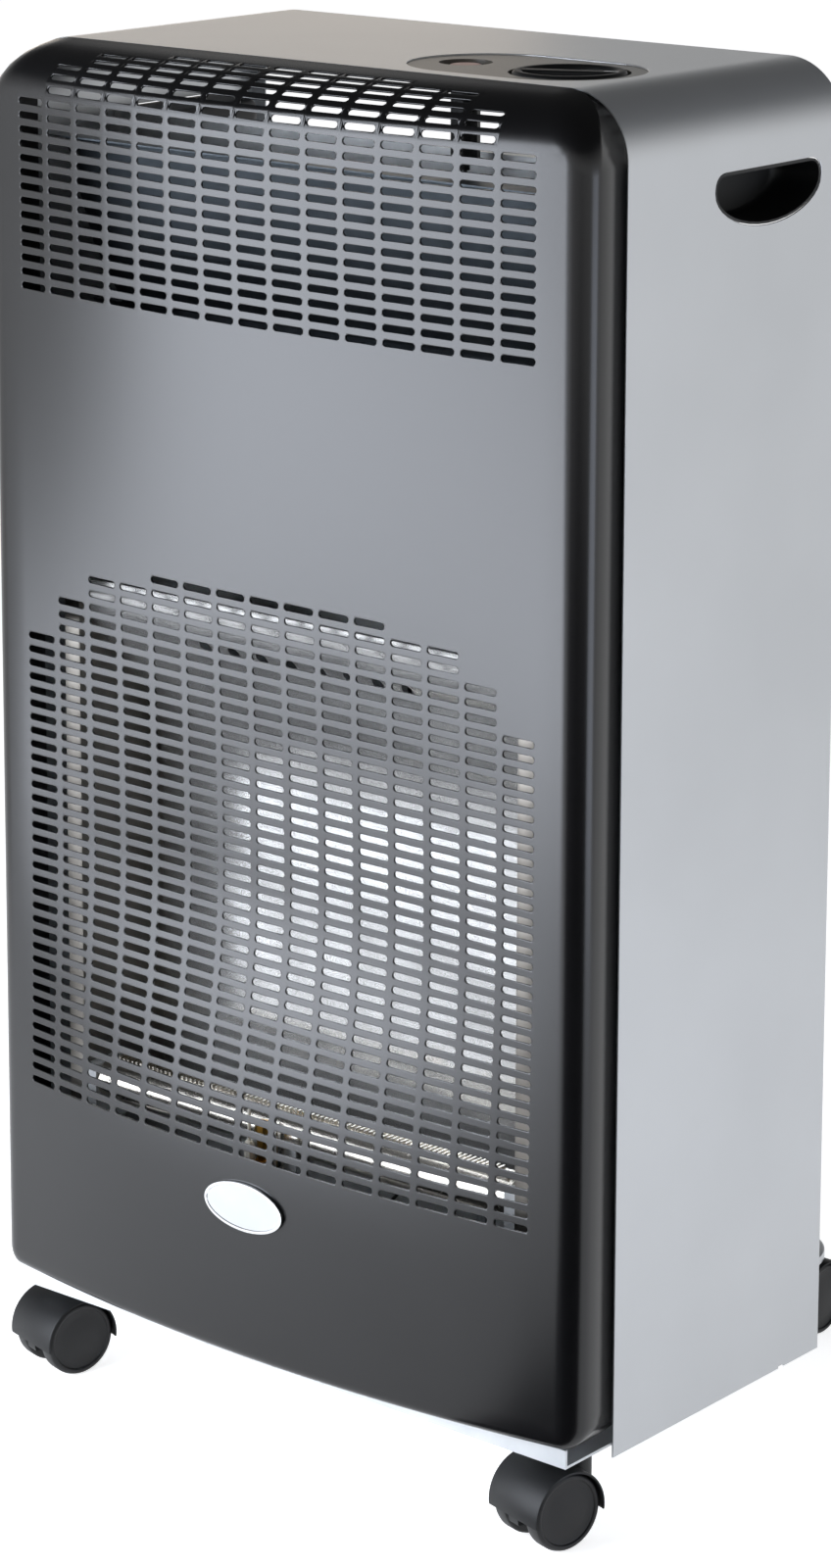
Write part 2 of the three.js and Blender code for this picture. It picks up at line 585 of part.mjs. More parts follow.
// Legs that hold the reflector off the bulkhead, one at each side.
function reflectorLeg(side) {
  const x = side * (REFLECTOR.width / 2 + REFLECTOR.lip / 2);
  const [w, t] = [REFLECTOR.lip / 2, INNER_SHEET];
  const low = aboveEdge(REFLECTOR.bottom + 30);
  const web = [Math.min(x - side * w, x - side * (w - t)), Math.max(x - side * w, x - side * (w - t))];
  const shift = side * GAP;
  return join(
    block([web[0] + shift, REFLECTOR.front + REFLECTOR.sheet + GAP, low], [web[1] + shift, BULKHEAD_Y - GAP, low + 40]),
    block([Math.min(x - side * w, x + side * w) + shift, BULKHEAD_Y - GAP - t, low],
      [Math.max(x - side * w, x + side * w) + shift, BULKHEAD_Y - GAP, low + 40]));
}

// The hot air deflector behind the upper grille: a strip fixed to the casing's sides, then a plate that
// leans forward and up.
function deflector() {
  const { low, high, back, front, sheet, lip, width } = DEFLECTOR;
  const profile = [[back, aboveEdge(low - lip)], [back, aboveEdge(low)], [(back + front) / 2, aboveEdge((low + high) / 2 - lip)],
    [front, aboveEdge(high)], [front - lip, aboveEdge(high)]];
  const plate = plateYZ(bentStrip(profile, sheet), -width / 2, width);
  const strip = block([-INNER_HALF, back - sheet, aboveEdge(low - lip)], [INNER_HALF, back, aboveEdge(low)]);
  return join(plate, strip);
}

// ---- Burner and pilot -------------------------------------------------------------------------------

const BURNER_Z = aboveEdge(BURNER.z);

// A round tube with a raised ribbed strip of flame ports along its top.
function burnerBar() {
  const half = BURNER.length / 2;
  const tube = rod(BURNER.radius, BURNER.length, 'x', [0, BURNER.y, BURNER_Z], 16);
  const rail = block([-half + 4, BURNER.y - 5, BURNER_Z], [half - 4, BURNER.y + 5, BURNER_Z + BURNER.radius + 3]);
  const ribPitch = 24;
  const ribs = Array.from({ length: Math.floor((BURNER.length - 24) / ribPitch) }, (_, i) =>
    block([-half + 12 + i * ribPitch, BURNER.y - EASE, BURNER_Z + BURNER.radius + 1],
      [-half + 20 + i * ribPitch, BURNER.y + EASE, BURNER_Z + EASE]));
  const bore = rod(BURNER.radius - 1.5, BURNER.length, 'x', [4, BURNER.y, BURNER_Z], 12);
  return cut(join(tube, rail), ...ribs, bore);
}

function burnerBracket(side) {
  const inner = side * (BURNER.length / 2 + GAP);
  const outer = side * (REFLECTOR.width / 2 - REFLECTOR.sheet - GAP);
  const low = aboveEdge(REFLECTOR.bottom);
  const span = [Math.min(inner, outer), Math.max(inner, outer)];
  return block([span[0], BURNER.y - BURNER.bracket / 2, low], [span[1], BURNER.y + BURNER.bracket / 2, BURNER_Z + 10]);
}

// The mixing tube under the burner's right end, its riser, and the brass jet that feeds it from behind.
const MIXER = { x: BURNER.length / 2 - 22, front: BURNER.y - 8, z: aboveEdge(REFLECTOR.bottom - 14), length: 34,
  radius: 5.5, mouth: 8, wall: 1.5 };
const JET_START = MIXER.front + MIXER.length + GAP;
const JET_LENGTH = 21;

function venturi() {
  const { x, front, z, length, radius, mouth, wall } = MIXER;
  return turned([[0, 0], [radius, 0], [radius, 14], [mouth, 22], [mouth, length], [mouth - wall, length],
    [mouth - wall, 22], [0, 22]], 'y', [x, front, z], 12);
}

// The riser is saddled on the mixing tube and carries the burner on its upper end.
function burnerRiser() {
  const pillar = rod(MIXER.radius - 0.5, BURNER_Z - MIXER.z, 'z', [MIXER.x, BURNER.y, (BURNER_Z + MIXER.z) / 2], 12);
  const underBurner = rod(BURNER.radius + GAP, BURNER.length, 'x', [0, BURNER.y, BURNER_Z], 16);
  const overMixer = rod(MIXER.radius + GAP, 2 * MIXER.length, 'y', [MIXER.x, MIXER.front, MIXER.z], 12);
  return cut(pillar, underBurner, overMixer);
}

function injector() {
  return turned([[0, 0], [2, 0], [4.5, 4], [4.5, 8], [7, 8], [7, 16], [5, 16], [5, JET_LENGTH], [0, JET_LENGTH]], 'y',
    [MIXER.x, JET_START, MIXER.z], 12);
}

// The pilot group hangs on a bracket under the burner: electrode, pilot burner and thermocouple in a row.
const PILOT_PLATE_Y = BURNER.y - BURNER.radius - 5;
const PILOT_FOOT = aboveEdge(REFLECTOR.bottom + 2);
const ELECTRODE = { x: PILOT_X - 11, radius: 3 };
const THERMOCOUPLE = { x: PILOT_X + 12, radius: 3.2 };
const PILOT_RADIUS = 4.5;
const onPlate = (radius) => PILOT_PLATE_Y - GAP - radius;

function pilotBracket() {
  const leafTop = BURNER_Z - BURNER.radius - GAP;
  const [from, to] = [PILOT_X - 16, PILOT_X + 20];
  return join(
    block([from, PILOT_PLATE_Y, PILOT_FOOT - 6], [to, PILOT_PLATE_Y + INNER_SHEET, PILOT_FOOT + 20]),
    block([from, PILOT_PLATE_Y, leafTop - INNER_SHEET], [to, BURNER.y + BURNER.radius, leafTop]));
}

function pilotBurner() {
  return turned([[0, 0], [3, 0], [3, 5], [PILOT_RADIUS, 5], [PILOT_RADIUS, 12], [3, 12], [3, 24], [4.2, 24], [4.2, 34],
    [0, 34]], 'z', [PILOT_X, onPlate(PILOT_RADIUS), PILOT_FOOT], 8);
}

function sparkElectrode() {
  const { x, radius } = ELECTRODE;
  return turned([[0, 0], [radius, 0], [radius, 18], [2, 20], [0.9, 20], [0.9, 38], [0, 38]], 'z',
    [x, onPlate(radius), PILOT_FOOT], 8);
}

function thermocouple() {
  const { x, radius } = THERMOCOUPLE;
  return turned([[0, 0], [radius, 0], [radius, 6], [2.2, 8], [2.2, 34], [0, 36]], 'z', [x, onPlate(radius), PILOT_FOOT], 8);
}

// ---- Tap, knob and igniter --------------------------------------------------------------------------

const WELL_FLOOR = CASING_TOP - KNOB.wellDepth;
const TAP_TOP = CASING_TOP - TAP.drop;

function controlBezel() {
  const { reach, radius, flange, sheet, sink, x, y } = BEZEL;
  const top = CASING_TOP - sink;
  const under = CASING_TOP - CASING_SHEET - GAP;
  const plug = plateXY(stadium(reach, radius - GAP, x, y), under - sheet, top - under + sheet, 7);
  const rim = plateXY(stadium(reach, radius + flange, x, y), under - sheet, sheet, 7);
  const buttonFloor = CASING_TOP - BUTTON.wellDepth;
  const cup = ({ x: cupX, y: cupY, well }, floor, sides) =>
    rod(well + sheet, top - floor + sheet, 'z', [cupX, cupY, (top + floor - sheet) / 2], sides);
  const knobCup = cup(KNOB, WELL_FLOOR, 24);
  const buttonCup = cup(BUTTON, buttonFloor, 18);
  const body = join(plug, rim, knobCup, buttonCup);
  const knobWell = rod(KNOB.well, 2 * KNOB.wellDepth, 'z', [KNOB.x, KNOB.y, CASING_TOP], 24);
  const buttonWell = rod(BUTTON.well, 2 * BUTTON.wellDepth, 'z', [BUTTON.x, BUTTON.y, CASING_TOP], 18);
  const spindleHole = rod(TAP.spindleRadius + 1, 2 * EASE, 'z', [KNOB.x, KNOB.y, WELL_FLOOR], 10);
  const stemHole = rod(BUTTON.stem + 0.5, 2 * EASE, 'z', [BUTTON.x, BUTTON.y, buttonFloor], 12);
  const panelSide = block([-HALF_WIDTH, 0, 0], [HALF_WIDTH, FRONT_DEPTH + FRONT_LAP + GAP, CASING_TOP]);
  return cut(body, knobWell, buttonWell, spindleHole, stemHole, panelSide);
}

// The knob: a disc with a rim and a grip bar left standing between two hollows.
function knob() {
  const top = CASING_TOP + KNOB.proud;
  const { radius, height } = KNOB;
  const disc = turned([[0, -height], [radius - 1, -height], [radius, -height + 1], [radius, -1.5], [radius - 1.5, 0],
    [0, 0]], 'z', [0, 0, 0], 28);
  const dish = rod(KNOB.dish, 2 * KNOB.dishDepth, 'z', [0, 0, 0], 24);
  const bar = block([-KNOB.radius, -KNOB.bar / 2, -EASE], [KNOB.radius, KNOB.bar / 2, EASE]);
  const shaped = cut(disc, cut(dish, bar));
  return shaped.rotateZ(THREE.MathUtils.degToRad(KNOB.angle)).translate(KNOB.x, KNOB.y, top);
}

function valveSpindle() {
  const top = CASING_TOP + KNOB.proud - KNOB.height - GAP;
  const bottom = TAP_TOP - TAP.plugHeight * 0.6;
  return rod(TAP.spindleRadius, top - bottom, 'z', [KNOB.x, KNOB.y, (top + bottom) / 2], 10);
}

function valvePlug() {
  const { plugRadius, plugHeight, spindleRadius } = TAP;
  const bore = spindleRadius + GAP;
  return turned([[0, -plugHeight], [plugRadius - 2, -plugHeight], [plugRadius, 0], [plugRadius, 3], [bore, 3],
    [bore, -plugHeight + 3], [0, -plugHeight + 3]], 'z', [KNOB.x, KNOB.y, TAP_TOP], 12);
}

function gasValve() {
  const { radius, height, plugRadius, plugHeight } = TAP;
  const body = rod(radius, height, 'z', [KNOB.x, KNOB.y, TAP_TOP - height / 2], 18);
  const rear = block([KNOB.x - 9, KNOB.y, TAP_TOP - height + 4], [KNOB.x + 9, BULKHEAD_Y - GAP, TAP_TOP - 8]);
  const inlet = block([KNOB.x, KNOB.y - 6, HOSE_Z - 7], [HOSE_X + 7, KNOB.y + 8, HOSE_Z + 7]);
  const seat = turned([[0, -plugHeight - GAP], [plugRadius - 2 + GAP, -plugHeight - GAP], [plugRadius + GAP, 0],
    [plugRadius + GAP, 1], [0, 1]], 'z', [KNOB.x, KNOB.y, TAP_TOP], 12);
  return cut(join(body, rear, inlet), seat);
}

// The hose tail at the back: a neck through the bulkhead, a collar and two barbs.
function hoseInlet() {
  const start = KNOB.y + 8 + GAP;
  const collar = BULKHEAD_Y - start + 4;
  return turned([[0, 0], [7, 0], [7, collar], [9, collar], [9, collar + 8], [4, collar + 8], [4.8, collar + 16],
    [4, collar + 16], [4.8, collar + 24], [3.5, collar + 30], [0, collar + 30]], 'y', [HOSE_X, start, HOSE_Z], 12);
}

function ignitionButton() {
  const { x, y, sink, wellDepth, stem, cap, radius, reach } = BUTTON;
  const end = sink - wellDepth - reach;
  return turned([[0, end], [stem, end], [stem, -cap], [radius, -cap], [radius, -1], [radius - 1.5, 0], [0, 0]], 'z',
    [x, y, CASING_TOP - sink], 16);
}

function piezoIgniter() {
  const top = CASING_TOP - BUTTON.wellDepth - BEZEL.sheet - GAP;
  const { radius, length } = IGNITER;
  const bore = BUTTON.stem + 0.5;
  return turned([[0, -length], [2.5, -length], [2.5, -length + 6], [radius, -length + 6], [radius, -4], [radius + 3, -4],
    [radius + 3, 0], [bore, 0], [bore, -12], [0, -12]], 'z', [BUTTON.x, BUTTON.y, top], 12);
}

// ---- Pipes and leads, along their clipped routes ----------------------------------------------------

function gasPipe() {
  const start = TAP_TOP - TAP.height - GAP;
  const jet = JET_START + JET_LENGTH + GAP;
  const bend = 3 * GAS_PIPE;
  return pipe([[KNOB.x, KNOB.y, start], [KNOB.x, KNOB.y, start - bend], [KNOB.x + GAS_PIPE, PIPE_Y - 1, start - 3 * bend],
    [PIPE_X, PIPE_Y, start - 8 * bend], [PIPE_X, PIPE_Y, aboveEdge(CLIPS.high)], [PIPE_X, PIPE_Y, aboveEdge(CLIPS.low)],
    [PIPE_X - 2 * GAS_PIPE, PIPE_Y, MIXER.z + 4 * GAS_PIPE], [MIXER.x, jet + 9, MIXER.z], [MIXER.x, jet, MIXER.z]],
  GAS_PIPE, 6, 26);
}

// A lead from the controls down behind the reflector, under it, and up to its place on the pilot bracket.
function leadRoute([topX, topY, topZ], x, bottomX, bottomY) {
  const under = aboveEdge(REFLECTOR.bottom) - 26;
  const spread = topZ - (topZ - aboveEdge(CLIPS.high)) / 4;
  return [[topX, topY, topZ], [topX, topY + 1, topZ - 16], [x, PIPE_Y + 2, spread], [x, PIPE_Y + 2, aboveEdge(CLIPS.high)],
    [x, PIPE_Y + 2, under + 26], [x, PIPE_Y - 8, under], [bottomX, bottomY + 14, under], [bottomX, bottomY, under + 8],
    [bottomX, bottomY, PILOT_FOOT - GAP]];
}

const TAP_UNDERSIDE = TAP_TOP - TAP.height - GAP;

function pilotPipe() {
  const top = [KNOB.x - 6, KNOB.y - 4, TAP_UNDERSIDE];
  return pipe(leadRoute(top, LEAD_X.pilot, PILOT_X, onPlate(PILOT_RADIUS)), CAPILLARY + 0.5, 6, 28);
}

function thermocoupleLead() {
  const top = [KNOB.x - 6, KNOB.y + 6, TAP_UNDERSIDE];
  return pipe(leadRoute(top, LEAD_X.thermocouple, THERMOCOUPLE.x, onPlate(THERMOCOUPLE.radius)), CAPILLARY, 4, 28);
}

function sparkLead() {
  const top = [BUTTON.x, BUTTON.y, CASING_TOP - BUTTON.wellDepth - BEZEL.sheet - IGNITER.length - 2 * GAP];
  return pipe(leadRoute(top, LEAD_X.spark, ELECTRODE.x, onPlate(ELECTRODE.radius)), CAPILLARY, 4, 28);
}

// ---- Handle cups ------------------------------------------------------------------------------------

// A black cup that lines the finger opening in the right side; the left one is its mirror image. Its
// flange is trimmed where the bulkhead stands.
function handleCup() {
  const { depth, wall, flange, ease } = HANDLE;
  const inside = HALF_WIDTH - CASING_SHEET - GAP;
  const cup = plateYZ(handleOutline(-ease), HALF_WIDTH - depth, depth - GAP, 5);
  const lip = plateYZ(handleOutline(flange), inside - wall, wall, 5);
  const hollow = plateYZ(handleOutline(-ease - wall), HALF_WIDTH - depth + wall, depth + EASE, 5);
  const bulkheadSide = block([0, 0, 0], [CABINET_WIDTH, BULKHEAD_Y + INNER_SHEET + GAP, CASING_TOP]);
  return cut(join(cup, lip), hollow, bulkheadSide);
}

function mirrored(geometry) {
  const flipped = geometry.clone().scale(-1, 1, 1);
  const index = flipped.index.array;
  for (let i = 0; i < index.length; i += 3) [index[i], index[i + 1]] = [index[i + 1], index[i]];
  return flipped;
}

// ---- Bottle shelf and its hinges --------------------------------------------------------------------

const SHELF_Z = CABINET_LIFT - SHELF.drop;
const HINGE_Z = SHELF_Z - HINGE_PIN - 2;

// The shelf's outline: straight in front, two large round corners behind.
function shelfOutline(inset) {
  const half = SHELF.width / 2 - inset;
  const corner = SHELF.corner - inset;
  const back = SHELF.back - inset;
  const front = SHELF.hingeY + 6 + inset;
  const shape = new THREE.Shape();
  shape.moveTo(-half, front);
  shape.lineTo(half, front);
  shape.absarc(half - corner, back - corner, corner, 0, Math.PI / 2);
  shape.absarc(-half + corner, back - corner, corner, Math.PI / 2, Math.PI);
  return shape;
}

function bottleShelf() {
  const floor = plateXY(shelfOutline(0), SHELF_Z - SHELF.sheet, SHELF.sheet, 4);
  const skirt = cut(plateXY(shelfOutline(0), SHELF_Z - SHELF.rim, SHELF.rim, 4),
    plateXY(shelfOutline(SHELF.sheet), SHELF_Z - SHELF.rim - EASE, SHELF.rim + EASE - SHELF.sheet, 4));
  const knuckles = [-1, 1].map((side) => {
    const x = side * HINGE_SPREAD;
    const half = HINGE_WIDTH / 2 - HINGE_EAR - GAP;
    const leaf = block([x - half, SHELF.hingeY, HINGE_Z - 4], [x + half, SHELF.hingeY + 8, HINGE_Z + 4]);
    return join(leaf, rod(HINGE_PIN + 2, 2 * half, 'x', [x, SHELF.hingeY, HINGE_Z], 12));
  });
  const bores = [-1, 1].map((side) =>
    rod(HINGE_PIN + GAP, HINGE_WIDTH + EASE, 'x', [side * HINGE_SPREAD, SHELF.hingeY, HINGE_Z], 12));
  const stemHoles = [-1, 1].map((side) =>
    rod(STEM.radius + GAP, 3 * EASE, 'z', [side * REAR_CASTER.x, REAR_CASTER.y, SHELF_Z], 10));
  return cut(join(floor, skirt, ...knuckles), ...bores, ...stemHoles);
}

// A hinge bracket under the base plate's rear edge: two ears that end in round eyes for the pin, low
// enough for the shelf's front edge to swing over them.
function hingeBracket(side) {
  const x = side * HINGE_SPREAD;
  const top = BASE_Z - GAP;
  const eye = HINGE_PIN + 2.5;
  const ears = [-1, 1].map((ear) => {
    const centre = x + (ear * (HINGE_WIDTH - HINGE_EAR)) / 2;
    const [near, far] = [centre - HINGE_EAR / 2, centre + HINGE_EAR / 2];
    const arm = block([near, SHELF.hingeY - HINGE_WIDTH, HINGE_Z - eye], [far, SHELF.hingeY - 8, top]);
    const neck = block([near, SHELF.hingeY - 9, HINGE_Z - eye], [far, SHELF.hingeY, HINGE_Z + eye]);
    return join(arm, neck, rod(eye, HINGE_EAR, 'x', [centre, SHELF.hingeY, HINGE_Z], 16));
  });
  const leaf = block([x - HINGE_WIDTH / 2, SHELF.hingeY - HINGE_WIDTH, top - BASE_SHEET],
    [x + HINGE_WIDTH / 2, SHELF.hingeY - 8, top]);
  const bore = rod(HINGE_PIN + GAP, HINGE_WIDTH + EASE, 'x', [x, SHELF.hingeY, HINGE_Z], 12);
  return cut(join(leaf, ...ears), bore);
}

function hingePin(side) {
  const x = side * HINGE_SPREAD;
  const half = HINGE_WIDTH / 2 + GAP;
  return turned([[0, -half - 2], [HINGE_PIN + 2, -half - 2], [HINGE_PIN + 2, -half], [HINGE_PIN, -half],
    [HINGE_PIN, half + 2], [0, half + 2]], 'x', [x, SHELF.hingeY, HINGE_Z], 10);
}

// ---- Casters ----------------------------------------------------------------------------------------

// All caster pieces are made about the stem's axis, with the wheels a trail's length in front of it.
const AXLE_Z = WHEEL.radius;

function casterHood(top) {
  const { radius, wall, width, below, neck, trail } = HOOD;
  const round = rod(radius, width, 'x', [0, -trail, AXLE_Z], 24);
  const hollow = rod(radius - wall, width + EASE, 'x', [0, -trail, AXLE_Z], 24);
  const beneath = block([-width, -trail - EASE * 2, AXLE_Z - EASE * 2], [width, -trail + EASE * 2, AXLE_Z - below]);
  const shell = cut(round, hollow, beneath);
  const web = overlap(rod(radius - wall / 2, WHEEL.gap - 2, 'x', [0, -trail, AXLE_Z], 24),
    block([-width, -trail - EASE * 2, AXLE_Z - 7], [width, EASE * 2, AXLE_Z + EASE * 2]));
  const stemHousing = cut(rod(neck, top - AXLE_Z - 2, 'z', [0, 0, (top + AXLE_Z + 2) / 2], 14),
    rod(radius - wall / 2, width + EASE, 'x', [0, -trail, AXLE_Z], 24));
  const stem = rod(STEM.radius, STEM.height + 4, 'z', [0, 0, top + STEM.height / 2 - 2], 10);
  const bore = rod(WHEEL.bore + AXLE_EASE / 2, width, 'x', [0, -trail, AXLE_Z], 10);
  return cut(join(shell, web, stemHousing, stem), bore);
}

function casterWheel(side) {
  const inner = WHEEL.gap / 2;
  const outer = inner + WHEEL.width;
  const r = WHEEL.radius;
  const profile = [[WHEEL.bore + AXLE_EASE / 2, inner], [r - 1, inner], [r, inner + 1], [r, outer - WHEEL.tyre],
    [r - WHEEL.tyre, outer], [WHEEL.bore + AXLE_EASE / 2, outer]];
  const along = side > 0 ? profile : profile.map(([radius, x]) => [radius, -x]).reverse();
  return turned([...along, along[0]], 'x', [0, -HOOD.trail, AXLE_Z], 24);
}

function casterAxle() {
  return rod(WHEEL.bore - AXLE_EASE / 2, WHEEL.gap + 2 * WHEEL.width - 1, 'x', [0, -HOOD.trail, AXLE_Z], 10);
}

function casterPlate(top) {
  const { size, thickness } = CASTER_PLATE;
  const plate = plateXY(roundedBox(size, size, 5, 0, 0), top - thickness, thickness, 1);
  return cut(plate, rod(STEM.radius + GAP, EASE, 'z', [0, 0, top], 10));
}

// ---- The assembly -----------------------------------------------------------------------------------

const heater = new THREE.Group();

function add(name, geometry, material, parent = heater) {
  const mesh = new THREE.Mesh(geometry, material);
  mesh.name = name;
  parent.add(mesh);
}

const SIDES = { left: -1, right: 1 };

add('casing', casing(), silverPaint);
add('front_panel', frontPanel(), blackEnamel);
add('badge', badge(), badgeEnamel);
add('bulkhead', bulkhead(), zincPlate);
add('base_plate', basePlate(), zincPlate);
add('reflector', reflector(), stainless);
add('hot_air_deflector', deflector(), stainless);
add('burner_bar', burnerBar(), stainless);
add('burner_riser', burnerRiser(), castAluminium);
add('venturi', venturi(), castAluminium);
add('injector', injector(), brass);
add('pilot_bracket', pilotBracket(), zincPlate);
add('pilot_burner', pilotBurner(), brass);
add('spark_electrode', sparkElectrode(), ceramic);
add('thermocouple', thermocouple(), stainless);
add('gas_valve', gasValve(), castAluminium);
add('valve_plug', valvePlug(), brass);
add('valve_spindle', valveSpindle(), castAluminium);
add('control_bezel', controlBezel(), greyPlastic);
add('control_knob', knob(), blackPlastic);
add('hose_inlet', hoseInlet(), brass);
add('piezo_igniter', piezoIgniter(), blackPlastic);
add('ignition_button', ignitionButton(), buttonRed);
add('gas_pipe', gasPipe(), steelPipe);
add('pilot_pipe', pilotPipe(), steelPipe);
add('thermocouple_lead', thermocoupleLead(), steelPipe);
add('spark_lead', sparkLead(), blackPlastic);
add('handle_cup_right', handleCup(), blackPlastic);
add('handle_cup_left', mirrored(handleCup()), blackPlastic);
add('bottle_shelf', bottleShelf(), silverPaint);

for (const [name, side] of Object.entries(SIDES)) {
  add(`reflector_leg_${name}`, reflectorLeg(side), zincPlate);
  add(`burner_bracket_${name}`, burnerBracket(side), zincPlate);
  add(`shelf_hinge_bracket_${name}`, hingeBracket(side), zincPlate);
  add(`shelf_hinge_pin_${name}`, hingePin(side), zincPlate);
}

// A caster under a carrier, turned about its stem; the plate between them is square to the cabinet.
function addCaster(name, x, y, carrierBottom, turnDegrees) {
  const place = new THREE.Group();
  place.position.set(x, y, 0);
  heater.add(place);
  add(`caster_plate_${name}`, casterPlate(carrierBottom - GAP), zincPlate, place);
  const swivel = new THREE.Group();
  swivel.rotation.z = THREE.MathUtils.degToRad(turnDegrees);
  place.add(swivel);
  const top = carrierBottom - GAP - CASTER_PLATE.thickness - GAP;
  add(`caster_hood_${name}`, casterHood(top), blackPlastic, swivel);
  add(`caster_axle_${name}`, casterAxle(), zincPlate, swivel);
  add(`caster_wheel_${name}_a`, casterWheel(-1), blackPlastic, swivel);
  add(`caster_wheel_${name}_b`, casterWheel(1), blackPlastic, swivel);
}

for (const [name, side] of Object.entries(SIDES)) {
  addCaster(`front_${name}`, side * FRONT_CASTER.x, FRONT_CASTER.y, BASE_Z, FRONT_CASTER.turn);
  addCaster(`rear_${name}`, side * REAR_CASTER.x, REAR_CASTER.y, SHELF_Z - SHELF.sheet, REAR_CASTER.turn);
}

// The finished heater stands on the floor with its middle over the origin.
const object = new THREE.Group();
object.add(heater);
const extent = new THREE.Box3().setFromObject(heater, true);
const middle = extent.getCenter(new THREE.Vector3());
heater.position.set(-middle.x, -middle.y, 0);

export default object;
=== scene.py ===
# %% [markdown]
# A slim gas cabinet heater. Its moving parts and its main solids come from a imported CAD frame, which is
# loaded first and never changed. This file dresses that frame: pieces whose look matters are modelled
# again in finer detail and stand in for their solids, and every other solid gets a material.

# %% Load the frame
import math

import bmesh
import bpy
from mathutils import Matrix, Vector, geometry, noise


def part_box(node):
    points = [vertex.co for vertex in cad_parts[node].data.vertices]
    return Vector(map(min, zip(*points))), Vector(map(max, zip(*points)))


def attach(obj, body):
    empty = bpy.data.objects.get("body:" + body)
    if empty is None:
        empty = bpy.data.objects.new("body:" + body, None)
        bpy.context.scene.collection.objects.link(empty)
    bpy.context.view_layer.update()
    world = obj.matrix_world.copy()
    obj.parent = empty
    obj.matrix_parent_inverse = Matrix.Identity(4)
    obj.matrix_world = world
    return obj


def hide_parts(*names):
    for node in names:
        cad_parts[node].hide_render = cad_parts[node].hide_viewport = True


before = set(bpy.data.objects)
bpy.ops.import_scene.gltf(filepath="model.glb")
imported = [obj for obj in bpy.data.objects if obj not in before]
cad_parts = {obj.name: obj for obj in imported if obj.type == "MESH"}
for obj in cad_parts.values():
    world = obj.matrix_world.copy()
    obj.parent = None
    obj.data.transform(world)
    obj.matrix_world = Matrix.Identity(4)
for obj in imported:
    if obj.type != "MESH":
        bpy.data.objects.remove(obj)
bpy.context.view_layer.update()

# %% [markdown]
# The pieces are measured in millimetres, the way a sheet metal shop would, from three planes: X = 0 down
# the middle, Y = 0 at the front edges of the black front, and Z = 0 on the floor. One matrix takes them to
# the frame's metres, so a finished object sits at the origin with its place in its mesh.

# %% From shop millimetres to the frame
CASING_FRONT = 33.0
FRONT_EDGE_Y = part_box("casing")[0][1] * 1000 - CASING_FRONT
TO_FRAME = Matrix.Diagonal((0.001, 0.001, 0.001, 1)) @ Matrix.Translation((0, FRONT_EDGE_Y, 0))
print("front edge plane at Y =", round(FRONT_EDGE_Y, 2), "mm")


# %% [markdown]
# Every finished bmesh becomes an object in the same way. It moves to the frame, gets smooth shading that
# stays sharp where faces meet steeply, takes its material, is hung on the body it rides on, and hides the
# solids it stands in for. One function does all of it, so no piece can miss a step.

# %% Make a piece from a bmesh
def piece(name, bm, material, body="cabinet", replaces=(), sharp=35, place=None):
    if place is not None:
        bmesh.ops.transform(bm, matrix=place, verts=bm.verts)
    bmesh.ops.transform(bm, matrix=TO_FRAME, verts=bm.verts)
    mesh = bpy.data.meshes.new(name)
    bm.to_mesh(mesh)
    bm.free()
    mesh.shade_smooth()
    mesh.set_sharp_from_angle(angle=math.radians(sharp))
    made = bpy.data.objects.new(name, mesh)
    bpy.context.collection.objects.link(made)
    for coat in material if isinstance(material, list) else [material]:
        mesh.materials.append(coat)
    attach(made, body)
    if replaces:
        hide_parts(*replaces)
    print(name, len(mesh.polygons), "faces")
    return made


# %% [markdown]
# Pressed and moulded edges are never quite sharp, and the thin highlight along them is what makes metal and
# plastic read as real. The edges could be rounded one by one with the bevel operator. A Bevel modifier does
# it for every edge sharper than a set angle, by a real radius, and stays easy to change.

# %% Round the edges of a piece
def rounded(made, radius_mm, segments=2, angle=40):
    bevel = made.modifiers.new("rounded edges", "BEVEL")
    bevel.width = radius_mm / 1000
    bevel.segments = segments
    bevel.limit_method = "ANGLE"
    bevel.angle_limit = math.radians(angle)
    bevel.harden_normals = False
    return made


# %% [markdown]
# Sheet metal is drawn as a skin without thickness, as a pattern maker would, and then given its thickness,
# so that both faces stay parallel. Openings that cut across a bend are awkward to draw into the skin, so
# those are punched with a boolean. It works on throw-away objects, and nothing is left over from it.

# %% Give a skin its thickness, and punch openings
def thicken(bm, thickness):
    bmesh.ops.recalc_face_normals(bm, faces=bm.faces)
    bmesh.ops.solidify(bm, geom=bm.faces[:], thickness=thickness)
    bmesh.ops.recalc_face_normals(bm, faces=bm.faces)


def combined(bm, others, operation="DIFFERENCE"):
    def scratch(source):
        mesh = bpy.data.meshes.new("scratch")
        source.to_mesh(mesh)
        source.free()
        made = bpy.data.objects.new("scratch", mesh)
        bpy.context.collection.objects.link(made)
        return made

    base = scratch(bm)
    tools = [scratch(other) for other in others]
    for tool in tools:
        step = base.modifiers.new("punch", "BOOLEAN")
        step.operation = operation
        step.solver = "EXACT"
        step.object = tool
    bpy.context.view_layer.update()
    result = bmesh.new()
    result.from_object(base, bpy.context.evaluated_depsgraph_get())
    for made in (base, *tools):
        mesh = made.data
        bpy.data.objects.remove(made)
        bpy.data.meshes.remove(mesh)
    return result


# %% [markdown]
# Four shapes come back again and again: a round bar, a block, a flat outline pushed into a plate, and a
# line spun round an axis as on a lathe. Each is one or two bmesh operators, so the pieces below are written
# in these words. Round outlines are drawn from arcs, because an arc keeps its radius when a size changes.

# %% Bars, blocks, plates and turned shapes
QUARTER_TURN = math.pi / 2
AXIS_TURN = {"x": Matrix.Rotation(QUARTER_TURN, 4, "Y"), "y": Matrix.Rotation(QUARTER_TURN, 4, "X"),
             "z": Matrix.Identity(4)}


